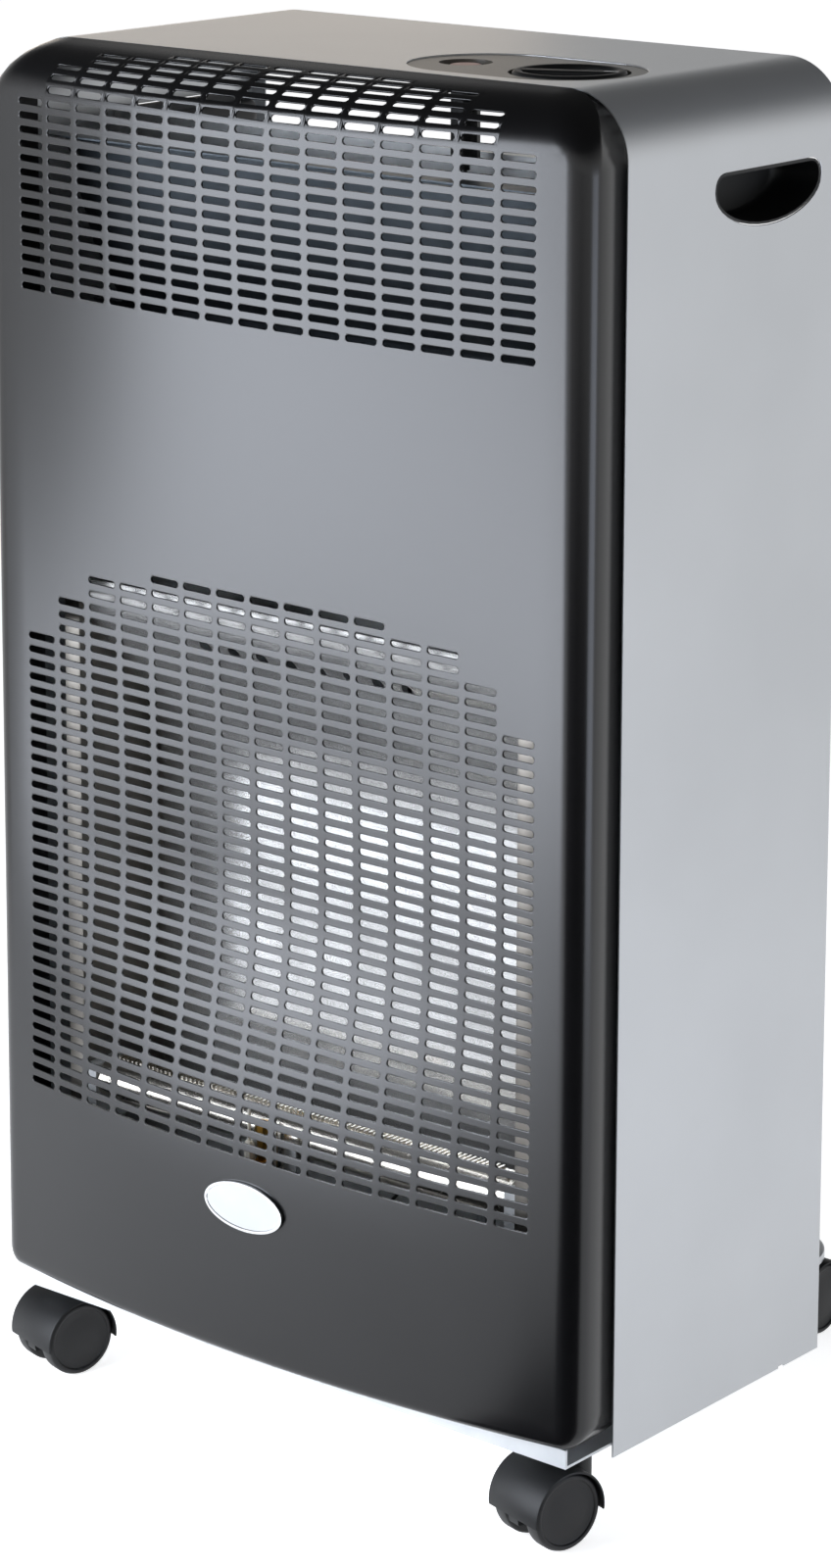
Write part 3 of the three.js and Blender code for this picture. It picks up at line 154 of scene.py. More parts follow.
def bar(bm, radius, length, axis, centre, sides=32):
    bmesh.ops.create_cone(bm, cap_ends=True, segments=sides, radius1=radius, radius2=radius, depth=length,
                          matrix=Matrix.Translation(centre) @ AXIS_TURN[axis])


def block(bm, low, high):
    size = [h - l for l, h in zip(low, high)]
    centre = [(h + l) / 2 for l, h in zip(low, high)]
    place = Matrix.Translation(centre) @ Matrix.Diagonal((*size, 1))
    return bmesh.ops.create_cube(bm, size=1, matrix=place)["verts"]


def plate(bm, outline, push):
    face = bm.faces.new([bm.verts.new(point) for point in outline])
    pushed = bmesh.ops.extrude_face_region(bm, geom=[face])["geom"]
    bmesh.ops.translate(bm, vec=push, verts=[v for v in pushed if isinstance(v, bmesh.types.BMVert)])
    bmesh.ops.recalc_face_normals(bm, faces=bm.faces)


def turned_shape(profile, axis, centre, sides=48):
    """Spins a line of (radius, distance along the axis) points into a closed shape."""
    bm = bmesh.new()
    line = [bm.verts.new((radius, 0, along)) for radius, along in profile]
    edges = [bm.edges.new(pair) for pair in zip(line, line[1:])]
    bmesh.ops.spin(bm, geom=line + edges, cent=(0, 0, 0), axis=(0, 0, 1), angle=2 * math.pi, steps=sides,
                   use_merge=True, use_duplicate=False)
    bmesh.ops.remove_doubles(bm, verts=bm.verts, dist=0.001)
    bmesh.ops.transform(bm, matrix=Matrix.Translation(centre) @ AXIS_TURN[axis], verts=bm.verts)
    bmesh.ops.recalc_face_normals(bm, faces=bm.faces)
    return bm


def arc(centre, radius, start, end, count):
    """Points of an arc, its angles in degrees."""
    angles = [math.radians(start + (end - start) * i / count) for i in range(count + 1)]
    return [(centre[0] + radius * math.cos(a), centre[1] + radius * math.sin(a)) for a in angles]


def stadium(reach, radius, x, y, count=24):
    return arc((x + reach, y), radius, -90, 90, count) + arc((x - reach, y), radius, 90, 270, count)


# %% [markdown]
# Materials are built from nodes. Colours are written as the sRGB hex values that a paint card or a picture
# editor shows, and one function turns them into the linear numbers that the shader works in. One more
# function adds a node with its settings and its links, which keeps each recipe short enough to read.

# %% Colour and node helpers
def linear(hex_colour, alpha=1.0):
    channels = [int(hex_colour[i:i + 2], 16) / 255 for i in (0, 2, 4)]
    return (*[c / 12.92 if c <= 0.04045 else ((c + 0.055) / 1.055) ** 2.4 for c in channels], alpha)


def node(tree, kind, inputs=None, **settings):
    made = tree.nodes.new(kind)
    for name, value in settings.items():
        setattr(made, name, value)
    for name, value in (inputs or {}).items():
        socket = made.inputs[name]
        if isinstance(value, bpy.types.NodeSocket):
            tree.links.new(value, socket)
        else:
            socket.default_value = value
    return made


def blank_material(name):
    material = bpy.data.materials.new(name)
    material.use_nodes = True
    material.node_tree.nodes.clear()
    return material, material.node_tree


# %% [markdown]
# No real finish is one flat colour. Each one here is the same recipe with different numbers: a colour that
# drifts a little over the surface, a fine grain that breaks up the gloss, and a relief so shallow that only
# reflections show it. An image texture could do this too, but noise has no seams and no end. It reads Object
# coordinates, so it rides on its piece. Sizes are given in millimetres: noise of scale 1 has waves about a
# metre long, so 1000 over the size is its scale.

# %% The recipe for a plain finish
DRIFT_BAND = (0.35, 0.65)        # the part of the noise over which one colour turns into the other


def finish(name, colour, second, metallic, roughness, grain_mm, relief_mm, drift_mm=60, rough_spread=0.06,
           **shader):
    material, tree = blank_material(name)
    place = node(tree, "ShaderNodeTexCoord").outputs["Object"]
    drift = node(tree, "ShaderNodeTexNoise", {"Vector": place, "Scale": 1000 / drift_mm, "Detail": 3.0})
    grain = node(tree, "ShaderNodeTexNoise", {"Vector": place, "Scale": 1000 / grain_mm, "Detail": 2.0})
    ramp = node(tree, "ShaderNodeValToRGB", {"Fac": drift.outputs["Fac"]})
    for stop, position, tone in zip(ramp.color_ramp.elements, DRIFT_BAND, (colour, second)):
        stop.position, stop.color = position, linear(tone)
    gloss = node(tree, "ShaderNodeMapRange", {
        "Value": grain.outputs["Fac"], "To Min": roughness - rough_spread,
        "To Max": roughness + rough_spread})
    relief = node(tree, "ShaderNodeBump", {
        "Height": grain.outputs["Fac"], "Distance": relief_mm / 1000, "Strength": 1.0})
    surface = node(tree, "ShaderNodeBsdfPrincipled", {
        "Base Color": ramp.outputs["Color"], "Metallic": metallic, "Roughness": gloss.outputs["Result"],
        "Normal": relief.outputs["Normal"], **shader})
    node(tree, "ShaderNodeOutputMaterial", {"Surface": surface.outputs["BSDF"]})
    return material


# %% [markdown]
# The finishes of this heater, each named for what it is. Powder coat has an orange peel of a few
# millimetres, and its aluminium flakes let it shine like a metal. Stove enamel is smoother. Zinc plate
# is blotchy. Sheet that stands over a flame buckles and goes hazy, so its relief is coarser and deeper.
# Mouldings have a spark-eroded grain, and the black ones reflect a little less than polished plastic would.
# The grain of mouldings and castings is drawn coarser than it is, because the real one would not show.

# %% The finishes
FINE_GRAINED = {"Specular IOR Level": 0.32}
DARK_ENAMEL = {"Specular IOR Level": 0.42}
silver_powder_coat = finish("silver powder coat", "C0C2C4", "BABCBE", 0.75, 0.34, 2.5, 0.006, drift_mm=180,
                            rough_spread=0.03)
black_stove_enamel = finish("charcoal stove enamel", "0B0B0C", "0E0E0F", 0.0, 0.25, 2.2, 0.002, drift_mm=90,
                            rough_spread=0.02, **DARK_ENAMEL)
zinc_plate = finish("bright zinc plate on mild steel", "DBDDDE", "CFD2D4", 0.45, 0.38, 9.0, 0.02, drift_mm=25)
bright_stainless = finish("bright stainless sheet hazed by heat", "F2F2F0", "E6E6E4", 0.75, 0.2, 26.0, 0.16,
                          drift_mm=40, rough_spread=0.05)
dull_stainless = finish("heat dulled stainless sheet", "8E8A83", "7A7670", 1.0, 0.36, 20.0, 0.1, drift_mm=30)
tinted_stainless = finish("heat tinted stainless tube", "DAD5CA", "CBC6BC", 1.0, 0.25, 1.5, 0.01, drift_mm=18)
cast_aluminium = finish("sand cast aluminium", "A3A5A6", "94979A", 0.85, 0.52, 1.2, 0.05, drift_mm=12)
# The deflector's galvanised sheet is painted a darker grey: painted shade for the dark inside of the cabinet
# behind the upper grille.
shade_darkened_galvanised = finish("galvanised sheet darkened as painted shade", "50575D", "434A50", 0.7, 0.42, 9.0, 0.02,
                         drift_mm=30)
turned_brass = finish("turned brass", "B58B41", "A67C34", 1.0, 0.3, 0.8, 0.01, drift_mm=10)
white_ceramic = finish("glazed ceramic", "ECE7DA", "E2DCCD", 0.0, 0.22, 1.5, 0.01, drift_mm=8)
grey_moulding = finish("grey-brown moulded ABS", "57534B", "4E4A43", 0.0, 0.38, 0.7, 0.012, drift_mm=40)
black_moulding = finish("black moulded ABS", "121314", "0F1011", 0.0, 0.5, 0.7, 0.008, drift_mm=40,
                        **FINE_GRAINED)
red_moulding = finish("dark red moulded ABS", "8C3322", "7A2A1C", 0.0, 0.33, 0.7, 0.015, drift_mm=15)
drawn_steel = finish("drawn steel tube", "A9AAA8", "9B9C9B", 0.9, 0.34, 1.0, 0.01, drift_mm=15)
black_nylon = finish("black moulded nylon", "151516", "111112", 0.0, 0.5, 0.8, 0.03, drift_mm=20,
                     **FINE_GRAINED)
scuffed_tread = finish("scuffed nylon tread", "262626", "1C1C1C", 0.0, 0.6, 1.2, 0.06, drift_mm=6)
silicone_sleeve = finish("black silicone sleeving", "202124", "191A1C", 0.0, 0.5, 0.6, 0.02, drift_mm=8)
badge_face = finish("white gloss lacquer", "C4C6C6", "BCBEBE", 0.0, 0.22, 3.0, 0.004, drift_mm=30)
badge_rim = finish("polished aluminium rim", "D9DADB", "CFD0D2", 1.0, 0.16, 1.0, 0.005, drift_mm=10)
print(len(bpy.data.materials), "finishes")

# %% [markdown]
# The CAD solids that stay in sight keep their shapes and take these finishes, by what each is made of. The
# solids that a finer piece stands in for further down get theirs too, so that no node is left plain. A table
# says it once for each node, and what is moulded in pairs or fours is told by how its name begins.

# %% Dress the CAD solids
NODE_FINISH = {
    "casing": silver_powder_coat, "front_panel": black_stove_enamel, "badge": badge_face,
    "bulkhead": zinc_plate, "base_plate": zinc_plate, "reflector": bright_stainless,
    # The hot-air deflector takes the darker galvanised grey, which is painted shade for the cabinet's dark
    # inside.
    "hot_air_deflector": shade_darkened_galvanised, "burner_bar": tinted_stainless, "burner_riser": cast_aluminium,
    "venturi": cast_aluminium, "injector": turned_brass, "pilot_bracket": zinc_plate,
    "pilot_burner": turned_brass, "spark_electrode": white_ceramic, "thermocouple": tinted_stainless,
    "gas_valve": cast_aluminium, "valve_plug": turned_brass, "valve_spindle": cast_aluminium,
    "control_bezel": grey_moulding, "control_knob": black_moulding, "hose_inlet": turned_brass,
    "piezo_igniter": black_moulding, "ignition_button": red_moulding, "gas_pipe": drawn_steel,
    "pilot_pipe": drawn_steel, "thermocouple_lead": drawn_steel, "spark_lead": silicone_sleeve,
    "bottle_shelf": silver_powder_coat,
}
FINISH_BY_START = {"caster_hood": black_moulding, "handle_cup": black_moulding, "caster_wheel": black_nylon}
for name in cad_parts:
    chosen = NODE_FINISH.get(name, zinc_plate)
    for start, shared in FINISH_BY_START.items():
        if name.startswith(start):
            chosen = shared
    slots = bpy.data.objects[name].data.materials
    slots.clear()
    slots.append(chosen)
print(len(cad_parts), "solids dressed")

# %% [markdown]
# The black front is one deep pressing. Across, it bows forward; up, the bow is full near the foot, gone at
# the waist and back at the top, where the face rolls over into the top of the cabinet. It could be a smooth
# surface with the slots cut by a boolean, but hundreds of cuts are slow and leave ragged shading. So it
# starts as a flat grid whose lines already run between the slots. Its border is then extruded in small
# steps round the edge rounding, the roll and the flange that goes inside the casing.

# %% The front's dimensions
LIFT = 53.0                      # floor to the lower edge of the silver sides
FACE_HALF = 195.7                # middle to where the side edge begins to round
PANEL_SHEET = 1.0
EDGE_RADIUS = {"side": 13.0, "bottom": 6.0}
PANEL_TOP = 773.7
PANEL_BOTTOM = LIFT + 11
COLUMN_PITCH, COLUMNS = 24.2, 15
ROW_PITCH = 7.865
SLOT_MARGIN = 2.0                # from a cell's edge to its slot
LOWER = {"rows": 40, "bottom": 130.0}
UPPER = {"rows": 20, "bottom": 588.0}
PLAIN_ROWS = {"foot": 13, "waist": 18}
ROLL_ROWS = 6
ARCH = [6, 3, 1, 1, 0, 0, 0, 0]  # first open row of columns 1 to 8; the rest mirror them
FACE_TOP = LIFT + UPPER["bottom"] + (UPPER["rows"] - ROLL_ROWS - 0.5) * ROW_PITCH
FACE_BOTTOM = PANEL_BOTTOM + EDGE_RADIUS["bottom"]
ROLL_RISE = PANEL_TOP - FACE_TOP
UPPER_BOW, LOWER_BOW = 15.0, 17.0
WAIST, LOWER_BOW_TOP = 283.0, 100.0  # heights above LIFT where the bow is gone, and where it is full
FLUSH_RISE, TUCK = 1.2, 0.3      # the roll ends level with the casing's top, then steps in under it
FLANGE = {"side": CASING_FRONT + 8, "top": CASING_FRONT + 8, "bottom": 18.0}
CORNERS = {"face": 4.0, "top": 34.7, "bottom": 12.0}
NEAR = 1e-3


def smooth(t):
    return t * t * (3 - 2 * t)


def bow(x, z):
    height = z - LIFT
    if height < WAIST:
        depth = LOWER_BOW * smooth(min((WAIST - height) / (WAIST - LOWER_BOW_TOP), 1))
    else:
        depth = UPPER_BOW * smooth(min((height - WAIST) / (FACE_TOP - LIFT - WAIST), 1))
    return depth * max(0.0, 1 - (x / FACE_HALF) ** 2)


# %% [markdown]
# On the roll the slots keep their pitch along the curved sheet, because they were punched while it was
# still flat. Equal angles would squeeze some rows and stretch others, so the steps of the roll are found by
# walking along its quarter ellipse until each step is one row long.

# %% Steps round the roll
def roll_steps():
    depth = CASING_FRONT + UPPER_BOW
    walked, angle, small = 0.0, 0.0, math.radians(0.05)
    steps, goal = [], ROW_PITCH
    while angle < QUARTER_TURN:
        walked += small * math.hypot(depth * math.sin(angle), ROLL_RISE * math.cos(angle))
        angle += small
        if walked >= goal and len(steps) < ROLL_ROWS:
            steps.append(angle)
            goal += ROW_PITCH
    last = steps[-1]
    return [0.0, *steps, (last + QUARTER_TURN) / 2, QUARTER_TURN]


ROLL_ANGLES = roll_steps()
print("roll steps", [round(math.degrees(a)) for a in ROLL_ANGLES])


# %% [markdown]
# The border is one closed ring of points, and each step of the rounding moves the whole ring. A side point
# turns round the small side radius, a top point round the deep roll, and a corner point a mix of both, by
# how far round the corner it lies. One function says where each point goes, so no seam opens between them.

# %% Where a border point goes at a step of the rounding
def border_place(x, z, angle, flange=False, tucked=False):
    """Moves a point of the border to an angle of the rounding, from 0 on the face to a quarter turn."""
    sine, back = math.sin(angle), 1 - math.cos(angle)
    half = FACE_HALF + EDGE_RADIUS["side"] * sine
    flush = 0.0 if tucked else FLUSH_RISE * (angle / QUARTER_TURN) ** 12
    top, bottom = FACE_TOP + ROLL_RISE * sine + flush, FACE_BOTTOM - EDGE_RADIUS["bottom"] * sine
    first = CORNERS["face"]
    upper = first + (CORNERS["top"] - first) * sine
    lower = first + (CORNERS["bottom"] - first) * sine
    low_start, high_start = FACE_BOTTOM + first, FACE_TOP - first
    end = FACE_HALF - first
    sideness, topness = 1.0, 0.0
    if abs(x) <= end + NEAR:
        sideness = 0.0
        if z > high_start:
            fixed = COLUMN_PITCH * (COLUMNS / 2 - 1)
            stretch = (half - upper - fixed) / (end - fixed)
            x = x if abs(x) <= fixed else math.copysign(fixed + (abs(x) - fixed) * stretch, x)
            z, topness = top, 1.0
        else:
            x, z = x * (half - lower) / end, bottom
    elif low_start - NEAR <= z <= high_start + NEAR:
        share = (z - low_start) / (high_start - low_start)
        x = math.copysign(half, x)
        z = bottom + lower + share * (top - upper - bottom - lower)
    else:
        high = z > high_start
        radius = upper if high else lower
        turn = math.atan2(abs(z - (high_start if high else low_start)), abs(x) - end)
        other = math.sin(turn) ** 2
        sideness, topness = 1 - other, other if high else 0.0
        x = math.copysign(half - radius + radius * math.cos(turn), x)
        z = top - radius + radius * math.sin(turn) if high else bottom + radius - radius * math.sin(turn)
    bottomness = 1 - sideness - topness
    if flange:
        y = FLANGE["side"] * sideness + FLANGE["top"] * topness + FLANGE["bottom"] * bottomness
        return Vector((x, y - bow(x, z) * (1 - topness), z))
    depth = (EDGE_RADIUS["side"] * sideness + (CASING_FRONT - TUCK) * topness
             + EDGE_RADIUS["bottom"] * bottomness)
    return Vector((x, depth * back - bow(x, z) * (1 - topness * back), z))


# %% [markdown]
# The ring is extruded once for each step: round the roll, then the tuck under the casing's edge, then the
# flange. Each point keeps its seat, the place it had on the flat face, and every step starts from there, so
# that small errors don't add up.

# %% The grid of the face, and its border round to the flange
def spread(low, high, count):
    return [low + (high - low) * i / count for i in range(count + 1)]


def front_skin():
    inner = COLUMN_PITCH * COLUMNS / 2
    xs = [-FACE_HALF, *spread(-inner, inner, COLUMNS), FACE_HALF]
    lower_low = LIFT + LOWER["bottom"] - ROW_PITCH / 2
    lower_high = lower_low + LOWER["rows"] * ROW_PITCH
    upper_low = LIFT + UPPER["bottom"] - ROW_PITCH / 2
    zs = [*spread(FACE_BOTTOM, lower_low, PLAIN_ROWS["foot"])[:-1],
          *spread(lower_low, lower_high, LOWER["rows"])[:-1],
          *spread(lower_high, upper_low, PLAIN_ROWS["waist"])[:-1],
          *spread(upper_low, FACE_TOP, UPPER["rows"] - ROLL_ROWS)]
    bm = bmesh.new()
    bmesh.ops.create_grid(bm, x_segments=len(xs) - 1, y_segments=len(zs) - 1, size=1)
    columns = {value: i for i, value in enumerate(sorted({round(v.co.x, 4) for v in bm.verts}))}
    rows = {value: i for i, value in enumerate(sorted({round(v.co.y, 4) for v in bm.verts}))}
    for v in bm.verts:
        v.co = (xs[columns[round(v.co.x, 4)]], 0, zs[rows[round(v.co.y, 4)]])
    corners = [v for v in bm.verts if len(v.link_faces) == 1]
    bmesh.ops.bevel(bm, geom=corners, offset=CORNERS["face"], offset_type="OFFSET", segments=6, profile=0.5,
                    affect="VERTICES", material=-1)
    key = lambda v: tuple(round(c, 3) for c in v.co)
    for v in bm.verts:
        v.co.y = -bow(v.co.x, v.co.z)
    border = [e for e in bm.edges if e.is_boundary]
    seats = {key(v): (v.co.x, v.co.z) for e in border for v in e.verts}
    roll = [(angle, False, False) for angle in ROLL_ANGLES[1:]]
    for angle, is_flange, is_tucked in (*roll, (QUARTER_TURN, False, True), (QUARTER_TURN, True, True)):
        grown = bmesh.ops.extrude_edge_only(bm, edges=border)["geom"]
        border = [e for e in grown if isinstance(e, bmesh.types.BMEdge) and e.is_boundary]
        moved = {}
        for v in {v for e in border for v in e.verts}:
            seat = seats[key(v)]
            v.co = border_place(*seat, angle, is_flange, is_tucked)
            v.co.y += TUCK if is_tucked and not is_flange else 0.0
            moved[key(v)] = seat
        seats = moved
    return bm


# %% [markdown]
# Each slot is one cell of the grid, so it needs no boolean. The cell's face is inset by the bar that stays
# between two slots, the four corners of what is left are bevelled until they meet as round ends, and the
# face is taken away. How the rows step down towards the sides is one short table.

# %% Punch the slots
SLACK = {"column": 0.02, "row": 0.05, "height": 0.15}
SLOT_END_FLAT = 0.03             # what the round end of a slot leaves straight


def is_slot(face):
    centre = face.calc_center_median()
    column = (centre.x / COLUMN_PITCH) + (COLUMNS - 1) / 2
    if abs(column - round(column)) > SLACK["column"] or not 0 <= round(column) < COLUMNS:
        return False
    if centre.y > CASING_FRONT:
        return False
    first = ARCH[min(round(column), COLUMNS - 1 - round(column))]
    for grille in (LOWER, UPPER):
        row = grille["rows"] - 1 - (centre.z - LIFT - grille["bottom"]) / ROW_PITCH
        on_row = abs(row - round(row)) < SLACK["row"] and first <= round(row) < grille["rows"]
        if centre.z < FACE_TOP and on_row:
            return True
    for step in range(ROLL_ROWS):
        level = FACE_TOP + ROLL_RISE * (math.sin(ROLL_ANGLES[step]) + math.sin(ROLL_ANGLES[step + 1])) / 2
        on_level = abs(centre.z - level) < SLACK["height"] and ROLL_ROWS - 1 - step >= first
        if centre.z > FACE_TOP and on_level:
            return True
    return False


def punched_front():
    bm = front_skin()
    cells = [face for face in bm.faces if len(face.verts) == 4 and is_slot(face)]
    print("slots", len(cells))
    bmesh.ops.inset_individual(bm, faces=cells, thickness=SLOT_MARGIN, depth=0, use_even_offset=True)
    ends = list({v for face in cells for v in face.verts})
    bmesh.ops.bevel(bm, geom=ends, offset=ROW_PITCH / 2 - SLOT_MARGIN - SLOT_END_FLAT, offset_type="OFFSET",
                    segments=3, profile=0.5, affect="VERTICES", material=-1)
    most = max(len(face.verts) for face in bm.faces)
    holes = [face for face in bm.faces if len(face.verts) == most]
    print("punched", len(holes), "faces of", most, "corners")
    bmesh.ops.delete(bm, geom=holes, context="FACES")
    bmesh.ops.recalc_face_normals(bm, faces=bm.faces)
    return bm


front = piece("slotted_front", punched_front(), black_stove_enamel, replaces=["front_panel"],
              sharp=50)
gauge = front.modifiers.new("sheet thickness", "SOLIDIFY")
gauge.thickness = PANEL_SHEET / 1000
gauge.offset = -1

# %% [markdown]
# The badge is a blank oval plate with a thin bright rim. A real one is a small stamping that is glued on, so
# it stays flat while the front behind it bows. It is a circle stretched into an oval and pushed out to its
# thickness. The rim is left standing when the middle of its face is inset twice and let in a little.

# %% The badge
BADGE = {"x": -4.6, "z": LIFT + 100.5, "half_width": 28.0, "half_height": 13.5, "thickness": 1.5,
         "seat": 0.35, "rim": 1.4, "groove": 0.3, "recess": 0.4}


def badge_plate():
    back = -bow(BADGE["x"], BADGE["z"]) - BADGE["seat"]
    bm = bmesh.new()
    made = bmesh.ops.create_circle(bm, cap_ends=True, segments=64, radius=1)["verts"]
    place = Matrix.Translation((BADGE["x"], back, BADGE["z"])) @ AXIS_TURN["y"]
    oval = Matrix.Diagonal((BADGE["half_width"], BADGE["half_height"], 1, 1))
    bmesh.ops.transform(bm, matrix=place @ oval, verts=made)
    grown = bmesh.ops.extrude_face_region(bm, geom=bm.faces[:])["geom"]
    bmesh.ops.translate(bm, vec=(0, -BADGE["thickness"], 0),
                        verts=[v for v in grown if isinstance(v, bmesh.types.BMVert)])
    bmesh.ops.recalc_face_normals(bm, faces=bm.faces)
    face = min(bm.faces, key=lambda f: f.calc_center_median().y)
    bmesh.ops.inset_individual(bm, faces=[face], thickness=BADGE["rim"], depth=0)
    bmesh.ops.inset_individual(bm, faces=[face], thickness=BADGE["groove"], depth=-BADGE["recess"])
    for other in bm.faces:
        other.material_index = 1
    face.material_index = 0
    return bm


piece("blank_badge", badge_plate(), [badge_face, badge_rim], replaces=["badge"],
      sharp=30)

# %% [markdown]
# The silver casing is one sheet bent over both sides and the top. Its section is drawn as a line on one
# side, mirrored, and pulled back along the cabinet; a box with two bevelled edges would do as well, but the
# line gives the real inner radius too. A flange turns in round the open back and stiffens it. Lines that run
# close beside each edge keep the flat faces flat in the shading. The finger openings, the opening for the
# controls and two little notches in the lower edges are punched last.

# %% The casing's sheet
HALF_WIDTH, CASING_TOP, CASING_BACK = 210.0, 775.0, 222.0
TOP_CORNER, SHEET, REAR_FLANGE = 36.0, 1.0, 12.0
EDGE_LINE = 3.0                  # how far the line beside an edge stays from it


def casing_skin():
    bm = bmesh.new()
    side = [(HALF_WIDTH, z) for z in (LIFT, LIFT + EDGE_LINE, CASING_TOP - TOP_CORNER - EDGE_LINE)]
    corner = arc((HALF_WIDTH - TOP_CORNER, CASING_TOP - TOP_CORNER), TOP_CORNER, 0, 90, 20)
    half = [*side, *corner, (HALF_WIDTH - TOP_CORNER - EDGE_LINE, CASING_TOP), (0, CASING_TOP)]
    line = [bm.verts.new((x, CASING_FRONT, z)) for x, z in half]
    edges = [bm.edges.new(pair) for pair in zip(line, line[1:])]
    bmesh.ops.mirror(bm, geom=line + edges, axis="X", merge_dist=0.001)
    rim = bm.edges[:]
    for y in (CASING_FRONT + EDGE_LINE, CASING_BACK - EDGE_LINE, CASING_BACK):
        grown = bmesh.ops.extrude_edge_only(bm, edges=rim)["geom"]
        rim = [e for e in grown if isinstance(e, bmesh.types.BMEdge) and all(v in grown for v in e.verts)]
        for v in {v for e in rim for v in e.verts}:
            v.co.y = y
    grown = bmesh.ops.extrude_edge_only(bm, edges=rim)["geom"]
    middle = Vector((HALF_WIDTH - TOP_CORNER, 0, CASING_TOP - TOP_CORNER))
    for v in [v for v in grown if isinstance(v, bmesh.types.BMVert)]:
        inward = Vector((max(abs(v.co.x) - middle.x, 0), 0, max(v.co.z - middle.z, 0))).normalized()
        v.co -= Vector((math.copysign(inward.x, v.co.x), 0, inward.z)) * REAR_FLANGE
    thicken(bm, SHEET)
    return bm


# %% [markdown]
# Each side has an opening for four fingers: a D that lies on its back, with a straight upper edge to pull
# on and a bowl shaped lower edge. The straight edge ends in two tight corners, and the bowl is two Bezier
# curves that meet level at the bottom. The outline can be grown or shrunk, so the cup fits inside it.

# %% The finger opening's outline
HANDLE = {"half": 47.5, "top": LIFT + 673.5, "low": LIFT + 642.5, "y": CASING_FRONT + 121.5, "depth": 30.0,
          "corner": 10.0, "flatness": 0.55}


def handle_outline(x, grow, count=10):
    y, half, corner = HANDLE["y"], HANDLE["half"] + grow, HANDLE["corner"] + grow
    top, low, flat = HANDLE["top"] + grow, HANDLE["low"] - grow, half * HANDLE["flatness"]

    def curve(*knots):
        return geometry.interpolate_bezier(*[Vector((0, a, b)) for a, b in knots], count)[:-1]

    def turn(start, tip, end):
        towards = [tuple(a + (b - a) * 2 / 3 for a, b in zip(point, tip)) for point in (start, end)]
        return curve(start, *towards, end)

    front, back = y - half, y + half
    points = [*turn((front + corner, top), (front, top), (front, top - corner)),
              *curve((front, top - corner), (front, low + corner), (y - flat, low), (y, low)),
              *curve((y, low), (y + flat, low), (back, low + corner), (back, top - corner)),
              *turn((back, top - corner), (back, top), (back - corner, top)),
              Vector((0, back - corner, top))]
    return [Vector((x, p.y, p.z)) for p in points]


# %% [markdown]
# The openings are punched once the sheet is bent, because a hole near a bend would pull out of shape. The two
# finger openings are one outline pushed right through both sides, so they can't be out of line. The cuts are
# few and large, so a boolean leaves clean edges here, and a small bevel breaks them as deburring does.

# %% Punch the casing
BEZEL = {"x": 101.0, "y": 89.0, "reach": 23.5, "radius": 44.5, "sheet": 1.5, "sink": 0.6, "ease": 0.3,
         "rim": 5.0, "rim_sink": 1.3, "rim_front": 41.5, "cup_drop": 0.2}
NOTCH = {"front": 184.0, "back": 189.0, "height": 1.2}
PUNCH = 20.0                     # how far a punch reaches past the sheet


def casing_punches():
    handles, controls, notches = bmesh.new(), bmesh.new(), bmesh.new()
    reach = HALF_WIDTH + PUNCH
    plate(handles, handle_outline(-reach, 0), (2 * reach, 0, 0))
    outline = stadium(BEZEL["reach"], BEZEL["radius"], BEZEL["x"], BEZEL["y"])
    plate(controls, [(x, y, CASING_TOP - PUNCH / 2) for x, y in outline], (0, 0, PUNCH))
    block(notches, (-reach, NOTCH["front"], LIFT - PUNCH / 2), (reach, NOTCH["back"], LIFT + NOTCH["height"]))
    return handles, controls, notches


casing = piece("silver_casing", combined(casing_skin(), casing_punches()), silver_powder_coat,
               replaces=["casing"], sharp=28)
rounded(casing, 0.3, segments=2, angle=50)


# %% [markdown]
# A black cup lines each finger opening, so that no hand meets a sheet edge. Its mouth is the opening's
# outline, and it narrows a little towards a floor with a soft edge, so that it leaves its mould. The mouth
# is filled with one face, and that face is pushed in and scaled step by step, as a potter would press a
# bowl. Last, the wall gets its thickness.

# %% The finger cups
CUP = {"ease": 0.5, "inset": 0.4, "wall": 1.3, "floor_gap": 1.5}


def finger_cup(sign):
    bm = bmesh.new()
    mouth = handle_outline(HALF_WIDTH - CUP["inset"], -CUP["ease"])
    face = bm.faces.new([bm.verts.new(p) for p in mouth])
    centre = face.calc_center_median()
    depth, shrink = HANDLE["depth"] - CUP["floor_gap"], 1.0
    for run, scale in ((1.0, 1.0), (depth - 9, 0.955), (4.5, 0.93), (2.4, 0.88), (0.8, 0.80)):
        grown = bmesh.ops.extrude_face_region(bm, geom=[face])
        bmesh.ops.delete(bm, geom=[face], context="FACES_ONLY")
        face = [g for g in grown["geom"] if isinstance(g, bmesh.types.BMFace)][0]
        for v in face.verts:
            v.co.x -= run
            v.co.y = centre.y + (v.co.y - centre.y) * scale / shrink
            v.co.z = centre.z + (v.co.z - centre.z) * scale / shrink
        shrink = scale
    thicken(bm, CUP["wall"])
    if sign < 0:
        bmesh.ops.scale(bm, vec=(-1, 1, 1), verts=bm.verts)
        bmesh.ops.reverse_faces(bm, faces=bm.faces)
    return bm


for side, sign in (("right", 1), ("left", -1)):
    piece(f"finger_cup_{side}", finger_cup(sign), black_moulding, replaces=[f"handle_cup_{side}"],
          sharp=50)

# %% [markdown]
# The controls sit in a moulded inset let into the top: two round wells, one for the knob and one for the
# spark button. Wells and rim overlap each other, which is hard to draw as one skin, so the inset is built
# from solid shapes that are joined, and the wells and the holes for the spindle and the stem are punched
# out of them.

# %% The control inset
KNOB = {"x": 130.0, "y": 88.0, "radius": 30.0, "well": 32.0, "floor": CASING_TOP - 16, "height": 11.0,
        "angle": 26.0, "proud": 0.6, "shaft": 4.5}
BUTTON = {"x": 61.0, "y": 88.0, "radius": 9.0, "well": 14.3, "floor": CASING_TOP - 10, "sink": 1.5,
          "shaft": 6.0}
DRILL = {"well": 40.0, "shaft": 60.0}


